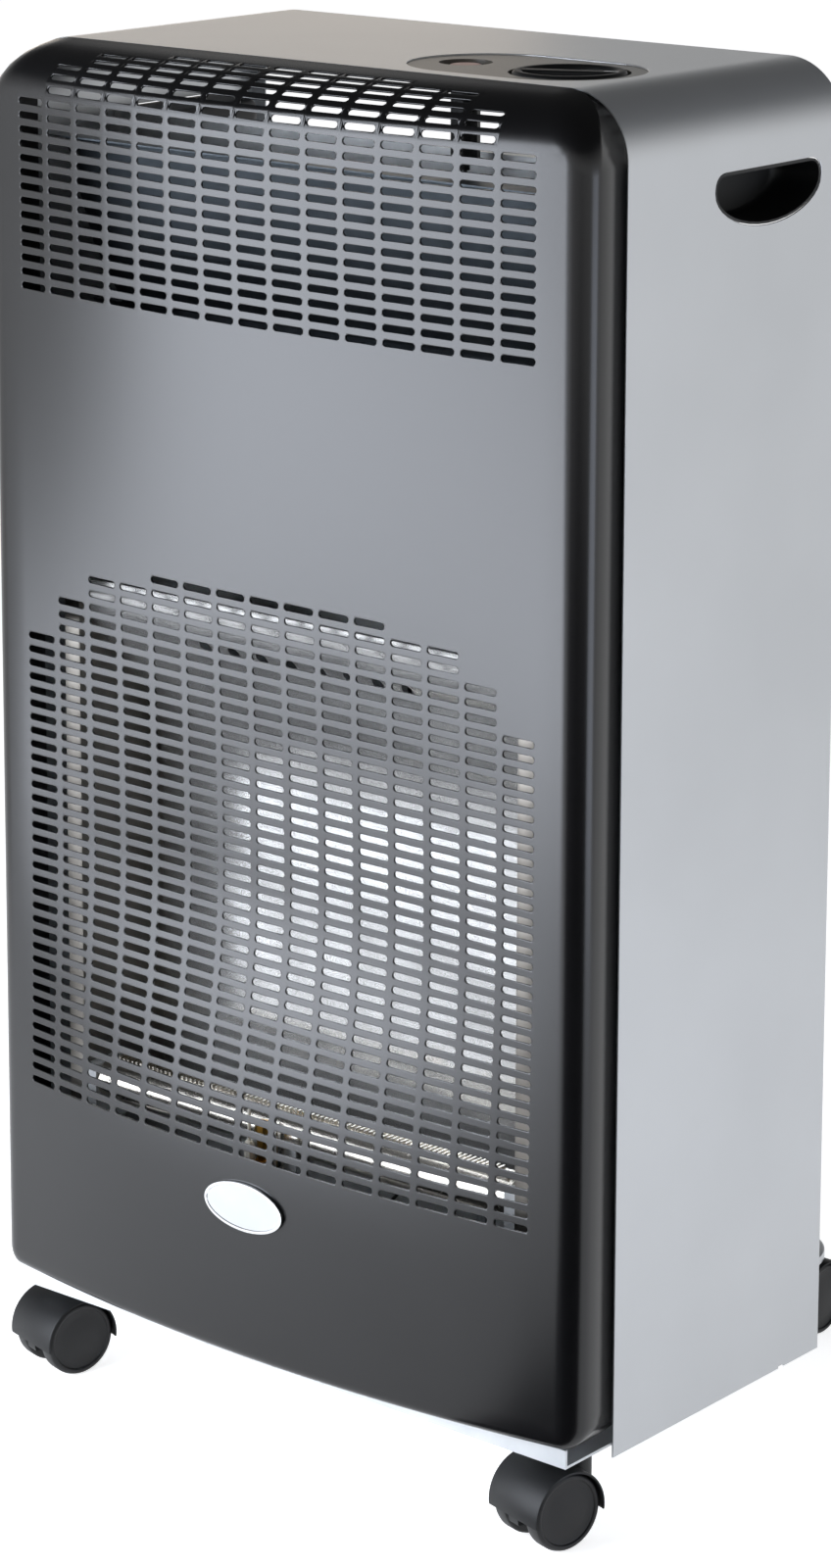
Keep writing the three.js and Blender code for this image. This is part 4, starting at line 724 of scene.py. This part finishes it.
def control_inset():
    x, y, sheet = BEZEL["x"], BEZEL["y"], BEZEL["sheet"]
    top, rim_top = CASING_TOP - BEZEL["sink"], CASING_TOP - BEZEL["rim_sink"]
    under = rim_top - sheet
    body, rim = bmesh.new(), bmesh.new()
    outline = stadium(BEZEL["reach"], BEZEL["radius"] - BEZEL["ease"], x, y)
    plate(body, [(u, v, under) for u, v in outline], (0, 0, top - rim_top + sheet))
    outline = stadium(BEZEL["reach"], BEZEL["radius"] + BEZEL["rim"], x, y)
    plate(rim, [(u, max(v, BEZEL["rim_front"]), under) for u, v in outline], (0, 0, sheet))
    cups, wells, shafts = [], [], []
    for place in (KNOB, BUTTON):
        cup, well, shaft = bmesh.new(), bmesh.new(), bmesh.new()
        u, v, floor = place["x"], place["y"], place["floor"]
        height = top - BEZEL["cup_drop"] - floor + sheet
        bar(cup, place["well"] + sheet, height, "z", (u, v, top - BEZEL["cup_drop"] - height / 2), 64)
        bar(well, place["well"], DRILL["well"], "z", (u, v, floor + DRILL["well"] / 2), 64)
        bar(shaft, place["shaft"], DRILL["shaft"], "z", (u, v, floor), 24)
        cups.append(cup)
        wells.append(well)
        shafts.append(shaft)
    return combined(combined(body, [rim, *cups], "UNION"), [*wells, *shafts])


inset = piece("control_inset", control_inset(), grey_moulding, replaces=["control_bezel"],
              sharp=30)
rounded(inset, 0.5, segments=3, angle=50)


# %% [markdown]
# The knob is a dished disc with a grip bar across it. The dish is spun from a profile, as on a lathe, since
# every ring of it is round. The bar is not, so it is a block with its upper edges bevelled, laid across the
# dish, with a pale line on one end to show its setting. The button is spun too.

# %% The knob and the button
GRIP = {"half": 4.5, "low": -8.5, "top": -0.1, "end": 1.2, "edge": 1.6}
POINTER = {"half": 0.6, "start": 12.0, "end": 2.5, "depth": 0.3}


def knob_disc():
    r, h = KNOB["radius"], KNOB["height"]
    profile = [(0, -h), (r - 1, -h), (r, -h + 1), (r, -1.6), (r - 0.5, -0.6), (r - 1.6, 0), (r - 4.2, 0),
               (r - 5.4, -0.6), (r - 6.2, -2.2), (r - 7.0, -7.0), (r - 8.2, -8.0), (0, -8.0)]
    bm = turned_shape(profile, "z", (0, 0, 0), 72)
    reach = r - GRIP["end"]
    grip = block(bm, (-reach, -GRIP["half"], GRIP["low"]), (reach, GRIP["half"], GRIP["top"]))
    top = [e for e in {e for v in grip for e in v.link_edges} if all(v.co.z > -1 for v in e.verts)]
    bmesh.ops.bevel(bm, geom=top, offset=GRIP["edge"], offset_type="OFFSET", segments=4, profile=0.5,
                    affect="EDGES", material=-1)
    line = block(bm, (r - POINTER["start"], -POINTER["half"], -POINTER["depth"]),
                 (r - POINTER["end"], POINTER["half"], 0.0))
    for face in {f for v in line for f in v.link_faces}:
        face.material_index = 1
    return bm


knob_place = (Matrix.Translation((KNOB["x"], KNOB["y"], CASING_TOP + KNOB["proud"]))
              @ Matrix.Rotation(math.radians(KNOB["angle"]), 4, "Z"))
piece("dished_knob", knob_disc(), [black_moulding, badge_face], body="knob", replaces=["control_knob"],
      sharp=40, place=knob_place)
cap_radius = BUTTON["radius"]
cap = [(0, -13.5), (5.5, -13.5), (5.5, -3), (cap_radius, -3), (cap_radius, -1.4), (cap_radius - 0.4, -0.6),
       (cap_radius - 1.4, -0.15), (cap_radius - 3, 0), (0, -0.5)]
button_top = (BUTTON["x"], BUTTON["y"], CASING_TOP - BUTTON["sink"])
piece("spark_button", turned_shape(cap, "z", button_top, 40), red_moulding, body="ignition_button",
      replaces=["ignition_button"], sharp=40)

# %% [markdown]
# Behind the lower grille a bright sheet throws the burner's heat forward: upright behind the burner, then
# leaning over the flame to the front. It is drawn as one curved line pulled across the cabinet in many
# narrow steps, with a cheek and a lip at each end and a row of round holes near its top. A perfectly even
# sheet would look like plastic. A real one buckles a little when it gets hot, so its middle is pushed in and
# out by a millimetre of soft noise, and the reflections break up as they should.

# %% The reflector
REFLECTOR = {"half": 157.0, "back": 84.0, "front": 16.0, "bottom": LIFT + 104, "bend": LIFT + 300,
             "top": LIFT + 424, "sheet": 0.8, "lip": 10.0, "hole_row": LIFT + 394, "holes": 8,
             "hole_pitch": 20.6, "hole_radius": 4.0, "hole_depth": 36.0, "punch": 60.0}
LEAN = {"upright": 0.55, "forward": 0.4, "overhang": 8.0}  # how the bend leaves the wall, and how it ends
BUCKLES = ((0.9, 48.0), (0.25, 19.0))                      # height and length of its waves
CALM = {"side": 30.0, "top": 12.0}                         # over which they fade out at its edges


def reflector_line():
    r = REFLECTOR
    rise = r["top"] - r["bend"]
    knots = [Vector((y, z, 0)) for y, z in (
        (r["back"], r["bend"]), (r["back"], r["bend"] + LEAN["upright"] * rise),
        (r["front"] + LEAN["overhang"], r["top"] - LEAN["forward"] * rise), (r["front"], r["top"]))]
    lean = geometry.interpolate_bezier(*knots, 26)
    foot = spread(r["bottom"], r["bend"], 14)[:-1]
    return [(r["back"], z) for z in foot] + [(p.x, p.y) for p in lean]


def buckled(bm):
    for v in bm.verts:
        edge = min(1, (REFLECTOR["half"] - abs(v.co.x)) / CALM["side"],
                   (v.co.z - REFLECTOR["bottom"]) / CALM["side"], (REFLECTOR["top"] - v.co.z) / CALM["top"])
        if edge > 0 and v.co.y > REFLECTOR["front"] + 0.5:
            v.co.y -= edge * sum(height * noise.noise(v.co / length) for height, length in BUCKLES)


def reflector_sheet():
    line = reflector_line()
    bm = bmesh.new()
    verts = [bm.verts.new((-REFLECTOR["half"], y, z)) for y, z in line]
    rim = [bm.edges.new(pair) for pair in zip(verts, verts[1:])]
    for x in spread(-REFLECTOR["half"], REFLECTOR["half"], 60)[1:]:
        grown = bmesh.ops.extrude_edge_only(bm, edges=rim)["geom"]
        rim = [e for e in grown if isinstance(e, bmesh.types.BMEdge) and all(v in grown for v in e.verts)]
        for v in {v for e in rim for v in e.verts}:
            v.co.x = x
    buckled(bm)
    thicken(bm, REFLECTOR["sheet"])
    punches = bmesh.new()
    for i in range(REFLECTOR["holes"]):
        x = (i - (REFLECTOR["holes"] - 1) / 2) * REFLECTOR["hole_pitch"]
        bar(punches, REFLECTOR["hole_radius"], REFLECTOR["punch"], "y",
            (x, REFLECTOR["hole_depth"], REFLECTOR["hole_row"]), 20)
    return combined(bm, [punches])


def reflector_cheek(sign):
    bm = bmesh.new()
    r, x = REFLECTOR, sign * REFLECTOR["half"]
    outline = [(r["front"], r["bottom"]), *reflector_line()]
    plate(bm, [(x, y, z) for y, z in outline], (-sign * r["sheet"], 0, 0))
    low, high = sorted((x - sign * 0.2, x + sign * (r["lip"] + 0.2)))
    block(bm, (low, r["front"], r["bottom"]), (high, r["front"] + r["sheet"], r["top"]))
    return bm


piece("reflector_sheet", reflector_sheet(), bright_stainless, replaces=["reflector"],
      sharp=40)
for side, sign in (("right", 1), ("left", -1)):
    piece(f"reflector_cheek_{side}", reflector_cheek(sign), dull_stainless, replaces=["reflector"],
          sharp=30)

# %% [markdown]
# The burner is a stainless tube with a strip of flame ports along its top. A real strip is a folded ribbon
# with hundreds of slits. From outside it reads as fine hatching through the grille, so it is a stack of thin
# cross ribs, which costs few faces and catches light as the ribbon does.

# %% The burner bar
BURNER = {"radius": 12.0, "length": 296.0, "y": 30.0, "z": LIFT + 129}
STRIP = {"half": 5.0, "end": 4.0, "foot": 8.0, "rise": 1.2}
RIB = {"half": 4.6, "wide": 1.3, "pitch": 3.2, "end": 10.0, "foot": 1.0, "rise": 3.0}


def burner_tube():
    bm = bmesh.new()
    half, y, z, r = BURNER["length"] / 2, BURNER["y"], BURNER["z"], BURNER["radius"]
    bar(bm, r, BURNER["length"], "x", (0, y, z), 40)
    block(bm, (-half + STRIP["end"], y - STRIP["half"], z + STRIP["foot"]),
          (half - STRIP["end"], y + STRIP["half"], z + r + STRIP["rise"]))
    for i in range(int((BURNER["length"] - 2 * RIB["end"]) / RIB["pitch"])):
        x = -half + RIB["end"] + i * RIB["pitch"]
        block(bm, (x, y - RIB["half"], z + r + RIB["foot"]),
              (x + RIB["wide"], y + RIB["half"], z + r + RIB["rise"]))
    return bm


piece("flame_burner", burner_tube(), tinted_stainless, replaces=["burner_bar"],
      sharp=35)

# %% [markdown]
# Each caster is a twin-wheel swivel type: a moulded hood over the upper half of two wheels, on a stem that
# is set back from the axle so that the caster trails. Hood and wheels are round about the axle, so both are
# spun round it. The web between the wheels and the neck under the stem are solid shapes cut to fit inside
# the hood, because they meet it along a curve that is hard to draw by hand.

# %% The caster's shapes
AXLE_Z, TRAIL = 21.5, 19.0
HOOD = {"radius": 23.3, "wall": 1.0, "half_width": 21.0, "below": 3.0, "web": 8.0, "web_below": 7.0}
STEM = {"neck_radius": 9.0, "neck_foot": 2.0, "radius": 4.0, "length": 9.0}
WHEEL = {"radius": 21.5, "inner": 9.0, "outer": 19.0, "tread": 0.8}
CUTTER = {"half_width": 30.0, "reach": 40.0}


def caster_hood(top):
    bm = bmesh.new()
    r, half, wall = HOOD["radius"], HOOD["half_width"], HOOD["wall"]
    start = math.degrees(math.asin(-HOOD["below"] / r))
    line = [(-half, r - 1.2), (-half + 0.3, r - 0.3), (-half + 1.2, r), (half - 1.2, r),
            (half - 0.3, r - 0.3), (half, r - 1.2)]
    verts = [bm.verts.new((x, -TRAIL + radius * math.cos(math.radians(start)),
                           AXLE_Z + radius * math.sin(math.radians(start)))) for x, radius in line]
    edges = [bm.edges.new(pair) for pair in zip(verts, verts[1:])]
    bmesh.ops.spin(bm, geom=verts + edges, cent=(0, -TRAIL, AXLE_Z), axis=(1, 0, 0),
                   angle=math.radians(180 - 2 * start), steps=40, use_merge=False, use_duplicate=False)
    thicken(bm, wall)
    web, below, neck, inside = bmesh.new(), bmesh.new(), bmesh.new(), bmesh.new()
    bar(web, r - wall / 2, HOOD["web"], "x", (0, -TRAIL, AXLE_Z), 48)
    wide, reach = CUTTER["half_width"], CUTTER["reach"]
    block(below, (-wide, -TRAIL - reach, AXLE_Z - reach), (wide, -TRAIL + reach, AXLE_Z - HOOD["web_below"]))
    web = combined(web, [below])
    foot = AXLE_Z + STEM["neck_foot"]
    bar(neck, STEM["neck_radius"], top - foot, "z", (0, 0, (top + foot) / 2), 32)
    bar(inside, r - wall / 2, 2 * wide, "x", (0, -TRAIL, AXLE_Z), 48)
    neck = combined(neck, [inside])
    for part in (web, neck):
        scrap = bpy.data.meshes.new("scrap")
        part.to_mesh(scrap)
        part.free()
        bm.from_mesh(scrap)
        bpy.data.meshes.remove(scrap)
    bar(bm, STEM["radius"], STEM["length"], "z", (0, 0, top + 0.5), 20)
    return bm


def caster_wheel(sign):
    r, inner, outer = WHEEL["radius"], WHEEL["inner"], WHEEL["outer"]
    hub = [(3.2, inner + 2), (3.2, inner)]
    tread = [(r - 1.2, inner), (r - 0.3, inner + 0.4), (r, inner + 1.4), (r, outer - 2.4),
             (r - 0.5, outer - 1.1), (r - 1.3, outer - 0.3)]
    face = [(r - 2.0, outer), (r - 2.9, outer), (r - 3.4, outer - 0.3), (r - 3.7, outer - 1.0),
            (r - 4.6, outer - 1.3), (12.0, outer - 1.0), (6.0, outer - 0.5), (0, outer - 0.35)]
    profile = [*hub, *tread, *face]
    if sign < 0:
        profile = [(radius, -x) for radius, x in profile]
    bm = turned_shape(profile, "x", (0, -TRAIL, AXLE_Z), 64)
    for face in bm.faces:
        centre = face.calc_center_median()
        if math.hypot(centre.y + TRAIL, centre.z - AXLE_Z) > r - WHEEL["tread"]:
            face.material_index = 1
    return bm


# %% [markdown]
# The two front casters stand under the base plate and the two rear ones under the shelf. All four come from
# the same functions, and one matrix takes each to its stem and turns it to the way it happens to trail.

# %% Place the casters
CASTER_PAIRS = {"front": {"x": 178, "y": 42, "top": 50.7, "turn": -14},
                "rear": {"x": 112, "y": 326, "top": 47.4, "turn": 180}}
for end, pair in CASTER_PAIRS.items():
    for side, side_sign in (("left", -1), ("right", 1)):
        name = f"{end}_{side}"
        place = (Matrix.Translation((side_sign * pair["x"], pair["y"], 0))
                 @ Matrix.Rotation(math.radians(pair["turn"]), 4, "Z"))
        piece(f"hood_{name}", caster_hood(pair["top"]), black_moulding, body=f"caster_{name}",
              replaces=[f"caster_hood_{name}"], sharp=35, place=place)
        for letter, sign in (("a", -1), ("b", 1)):
            piece(f"wheel_{name}_{letter}", caster_wheel(sign), [black_nylon, scuffed_tread],
                  body=f"wheel_{name}_{letter}", replaces=[f"caster_wheel_{name}_{letter}"],
                  sharp=40, place=place)

# %% [markdown]
# The shelf that the bottle stands on is a pressed plate with two big round corners behind and a rim turned
# down all round for stiffness. It is a slab first. Its upper face is inset and raised in three small steps,
# which rounds the pressed edge, and its lower face is inset by the sheet and pushed up inside, which leaves
# the rim. Giving a skin its thickness would be shorter, but this way the outside keeps its exact size and
# swings clear of its hinges. Two knuckles carry it on the hinge pins.

# %% The bottle shelf
SHELF = {"half": 134.0, "front": 118.0, "back": 366.0, "corner": 38.0, "top": 51.5, "rim": 5.0,
         "sheet": 1.4, "fillet": 0.4}
SHELF_EDGE = ((0.2, 0.7), (0.6, 0.35), (1.0, 0.15))        # how far in and how far up at each step
KNUCKLE = {"spread": 96.0, "half": 7.7, "y": 112.0, "z": 46.5, "radius": 5.0, "leaf": (42.5, 50.4),
           "reach": 8.0}


def shelf_pressing():
    s = SHELF
    right = arc((s["half"] - s["corner"], s["back"] - s["corner"]), s["corner"], 0, 90, 24)
    left = arc((-s["half"] + s["corner"], s["back"] - s["corner"]), s["corner"], 90, 180, 24)
    outline = [(-s["half"], s["front"]), (s["half"], s["front"]), *right, *left]
    foot, edge_start = s["top"] - s["rim"], s["top"] - sum(rise for _, rise in SHELF_EDGE)
    bm = bmesh.new()
    plate(bm, [(x, y, foot) for x, y in outline], (0, 0, edge_start - foot))
    height = lambda face: face.calc_center_median().z
    lower, upper = min(bm.faces, key=height), max(bm.faces, key=height)
    for inward, rise in SHELF_EDGE:
        bmesh.ops.inset_individual(bm, faces=[upper], thickness=inward, depth=rise, use_even_offset=True)
    bmesh.ops.inset_individual(bm, faces=[lower], thickness=s["sheet"], depth=0, use_even_offset=True)
    lower = bmesh.ops.extrude_discrete_faces(bm, faces=[lower])["faces"][0]
    bmesh.ops.translate(bm, vec=(0, 0, s["rim"] - s["sheet"] - s["fillet"]), verts=lower.verts)
    bmesh.ops.inset_individual(bm, faces=[lower], thickness=s["fillet"], depth=-s["fillet"],
                               use_even_offset=True)
    bmesh.ops.recalc_face_normals(bm, faces=bm.faces)
    k = KNUCKLE
    for x in (-k["spread"], k["spread"]):
        block(bm, (x - k["half"], k["y"], k["leaf"][0]), (x + k["half"], k["y"] + k["reach"], k["leaf"][1]))
        bar(bm, k["radius"], 2 * k["half"], "x", (x, k["y"], k["z"]), 24)
    return bm


piece("pressed_shelf", shelf_pressing(), silver_powder_coat, body="shelf", replaces=["bottle_shelf"],
      sharp=35)

# %% [markdown]
# The studio is a sheet of white paper that runs on past every edge of the picture and catches a soft shadow,
# with a white backdrop far behind it, which is the world. Both look white because of what the camera,
# reflections and clear pieces see of them. The light that they throw on the heater is set apart from that,
# and is plain and low. For reflections the backdrop is white at the horizon and fades to a dark ceiling,
# as paper does that is only lit from below. That is what gives sheet metal its soft gradients.

# %% Floor and world
FLOOR_SIZE, FLOOR_GLOW = 24.0, 0.72
ROOM_LEVEL = 0.42
HORIZON = {"white_to": 0.05, "dark_from": 0.45, "dark": 0.05}  # heights are the upward part of a direction


def sheet_of_paper(name, centre, width, length, material):
    bm = bmesh.new()
    bmesh.ops.create_grid(bm, x_segments=1, y_segments=1, size=0.5,
                          matrix=Matrix.Translation(centre) @ Matrix.Diagonal((width, length, 1, 1)))
    mesh = bpy.data.meshes.new(name)
    bm.to_mesh(mesh)
    bm.free()
    mesh.materials.append(material)
    made = bpy.data.objects.new(name, mesh)
    bpy.context.collection.objects.link(made)
    print(name, width, "by", length, "m")
    return made


def seen_directly(tree):
    """1 for what the camera, reflections and clear pieces see, 0 for the light that falls on things."""
    ray = node(tree, "ShaderNodeLightPath").outputs
    mirrored = node(tree, "ShaderNodeMath", {0: ray["Is Glossy Ray"], 1: ray["Is Transmission Ray"]},
                    operation="MAXIMUM")
    return node(tree, "ShaderNodeMath", {0: ray["Is Camera Ray"], 1: mirrored.outputs["Value"]},
                operation="MAXIMUM").outputs["Value"]


paper, paper_tree = blank_material("white studio paper")
matt = node(paper_tree, "ShaderNodeBsdfDiffuse", {"Color": linear("E6E6E6")})
glow = node(paper_tree, "ShaderNodeEmission", {"Color": linear("FFFFFF"), "Strength": FLOOR_GLOW})
both = node(paper_tree, "ShaderNodeAddShader")
paper_tree.links.new(matt.outputs["BSDF"], both.inputs[0])
paper_tree.links.new(glow.outputs["Emission"], both.inputs[1])
pick = node(paper_tree, "ShaderNodeMixShader", {"Fac": seen_directly(paper_tree)})
paper_tree.links.new(matt.outputs["BSDF"], pick.inputs[1])
paper_tree.links.new(both.outputs["Shader"], pick.inputs[2])
node(paper_tree, "ShaderNodeOutputMaterial", {"Surface": pick.outputs["Shader"]})
sheet_of_paper("studio_floor", (0, 0, 0), FLOOR_SIZE, FLOOR_SIZE, paper)


# %% [markdown]
# A photographer lays a black card where a glossy object would otherwise mirror white paper, to draw its
# dark edges. This one lies in front on the right, where the black front's rounded corner mirrors it. Only
# reflections see it: it is hidden from the camera, casts no shadow and leaves the soft light as it is.

# %% The black card
card, card_tree = blank_material("black card")
soot = node(card_tree, "ShaderNodeBsdfDiffuse", {"Color": linear("141414")})
node(card_tree, "ShaderNodeOutputMaterial", {"Surface": soot.outputs["BSDF"]})
black_card = sheet_of_paper("black_card", (1.4, -1.65, 0.004), 2.6, 2.9, card)
black_card.visible_camera = black_card.visible_diffuse = black_card.visible_shadow = False

# %% [markdown]
# The backdrop could be a wall of geometry, but the world has no edge and surrounds the heater in every view.
# It mixes two lights: the plain one that falls on things, and the white one that is looked at or mirrored.

# %% The backdrop
world = bpy.data.worlds.new("studio")
bpy.context.scene.world = world
world.use_nodes = True
sky = world.node_tree
sky.nodes.clear()
room = node(sky, "ShaderNodeBackground", {"Color": linear("F0F2F5"), "Strength": ROOM_LEVEL})
direction = node(sky, "ShaderNodeTexCoord").outputs["Generated"]
upward = node(sky, "ShaderNodeSeparateXYZ", {"Vector": direction}).outputs["Z"]
fading = node(sky, "ShaderNodeMapRange", {
    "Value": upward, "From Min": HORIZON["white_to"], "From Max": HORIZON["dark_from"], "To Min": 1.0,
    "To Max": HORIZON["dark"]})
looked_at = node(sky, "ShaderNodeLightPath").outputs["Is Camera Ray"]
white = node(sky, "ShaderNodeMath", {0: looked_at, 1: fading.outputs["Result"]}, operation="MAXIMUM")
backdrop = node(sky, "ShaderNodeBackground", {"Color": linear("FFFFFF"), "Strength": white.outputs["Value"]})
shown = node(sky, "ShaderNodeMixShader", {"Fac": seen_directly(sky)})
sky.links.new(room.outputs["Background"], shown.inputs[1])
sky.links.new(backdrop.outputs["Background"], shown.inputs[2])
node(sky, "ShaderNodeOutputWorld", {"Surface": shown.outputs["Shader"]})


# %% [markdown]
# Three soft boxes, all out of the camera's sight. The bright one in front on the left is what the black
# front and the reflector mirror, so its size and height decide where they are light. One on the right lights
# the silver side. A warm one far behind on the left shines along the top at a low angle, which makes the
# left end of the top lighter than the right one. They are area lamps, because metal mirrors the shape of a
# lamp: a point lamp would show as a dot, where these show as soft bands. Above the heater it stays dark, so
# the roll at the top of the front and its corner run to black.

# %% Lights
def softbox(name, place, target, width, height, radiance, tint):
    light = bpy.data.lights.new(name, "AREA")
    light.shape = "RECTANGLE"
    light.size, light.size_y = width, height
    light.energy = radiance * math.pi * width * height
    light.color = linear(tint)[:3]
    made = bpy.data.objects.new(name, light)
    made.location = place
    made.rotation_mode = "QUATERNION"
    made.rotation_quaternion = (Vector(place) - Vector(target)).to_track_quat("Z", "Y")
    bpy.context.collection.objects.link(made)
    made.visible_camera = False
    print(name, "at", place)


softbox("softbox front left", (-0.578, -1.157, 0.55), (0.082, -0.207, 0.5), 0.92, 1.06, 10.0, "EAF0FB")
softbox("softbox right", (1.3, 0.14, 0.31), (0.2, 0.14, 0.31), 0.6, 0.64, 3.2, "DFE8FB")
softbox("softbox behind", (-1.95, 1.75, 0.95), (-0.1, 0.1, 0.75), 1.0, 0.6, 1.0, "FFE8CC")

# %% [markdown]
# The camera stands in front on the right, a little above the heater. The photograph's upright lines hardly
# converge, which a lens shift gives: the camera looks almost level and the picture is taken low in its
# image circle. The shift here is only part of that, so that other views keep the heater in the frame. The
# focal length and the centre are in pixels of the picture, because that is how a camera is fitted to one.

# %% Camera
PICTURE = (848, 1600)
SENSOR_MM = 36.0
CAMERA = {"f_px": 4511.0, "centre_px": (414.9, 406.0), "place": (1517.1, -1710.8, 1046.7),
          "yaw": 39.749, "pitch": 11.058, "roll": 0.146}
lens = bpy.data.cameras.new("camera")
lens.sensor_fit = "AUTO"
lens.sensor_width = SENSOR_MM
lens.lens = SENSOR_MM * CAMERA["f_px"] / max(PICTURE)
lens.shift_x = (PICTURE[0] / 2 - CAMERA["centre_px"][0]) / max(PICTURE)
lens.shift_y = (CAMERA["centre_px"][1] - PICTURE[1] / 2) / max(PICTURE)
camera = bpy.data.objects.new("camera", lens)
camera.matrix_world = (Matrix.Translation(TO_FRAME @ Vector(CAMERA["place"]))
                       @ Matrix.Rotation(math.radians(CAMERA["yaw"]), 4, "Z")
                       @ Matrix.Rotation(math.radians(90 - CAMERA["pitch"]), 4, "X")
                       @ Matrix.Rotation(math.radians(CAMERA["roll"]), 4, "Z"))
bpy.context.collection.objects.link(camera)
bpy.context.scene.camera = camera
bpy.context.scene.view_settings.view_transform = "Standard"
print("focal length", round(lens.lens, 1), "mm, shift", round(lens.shift_x, 3), round(lens.shift_y, 3))

# %% [markdown]
# Last, the scene is brought up to date, so that every piece stands where it was placed.

# %% Bring the scene up to date
bpy.context.view_layer.update()
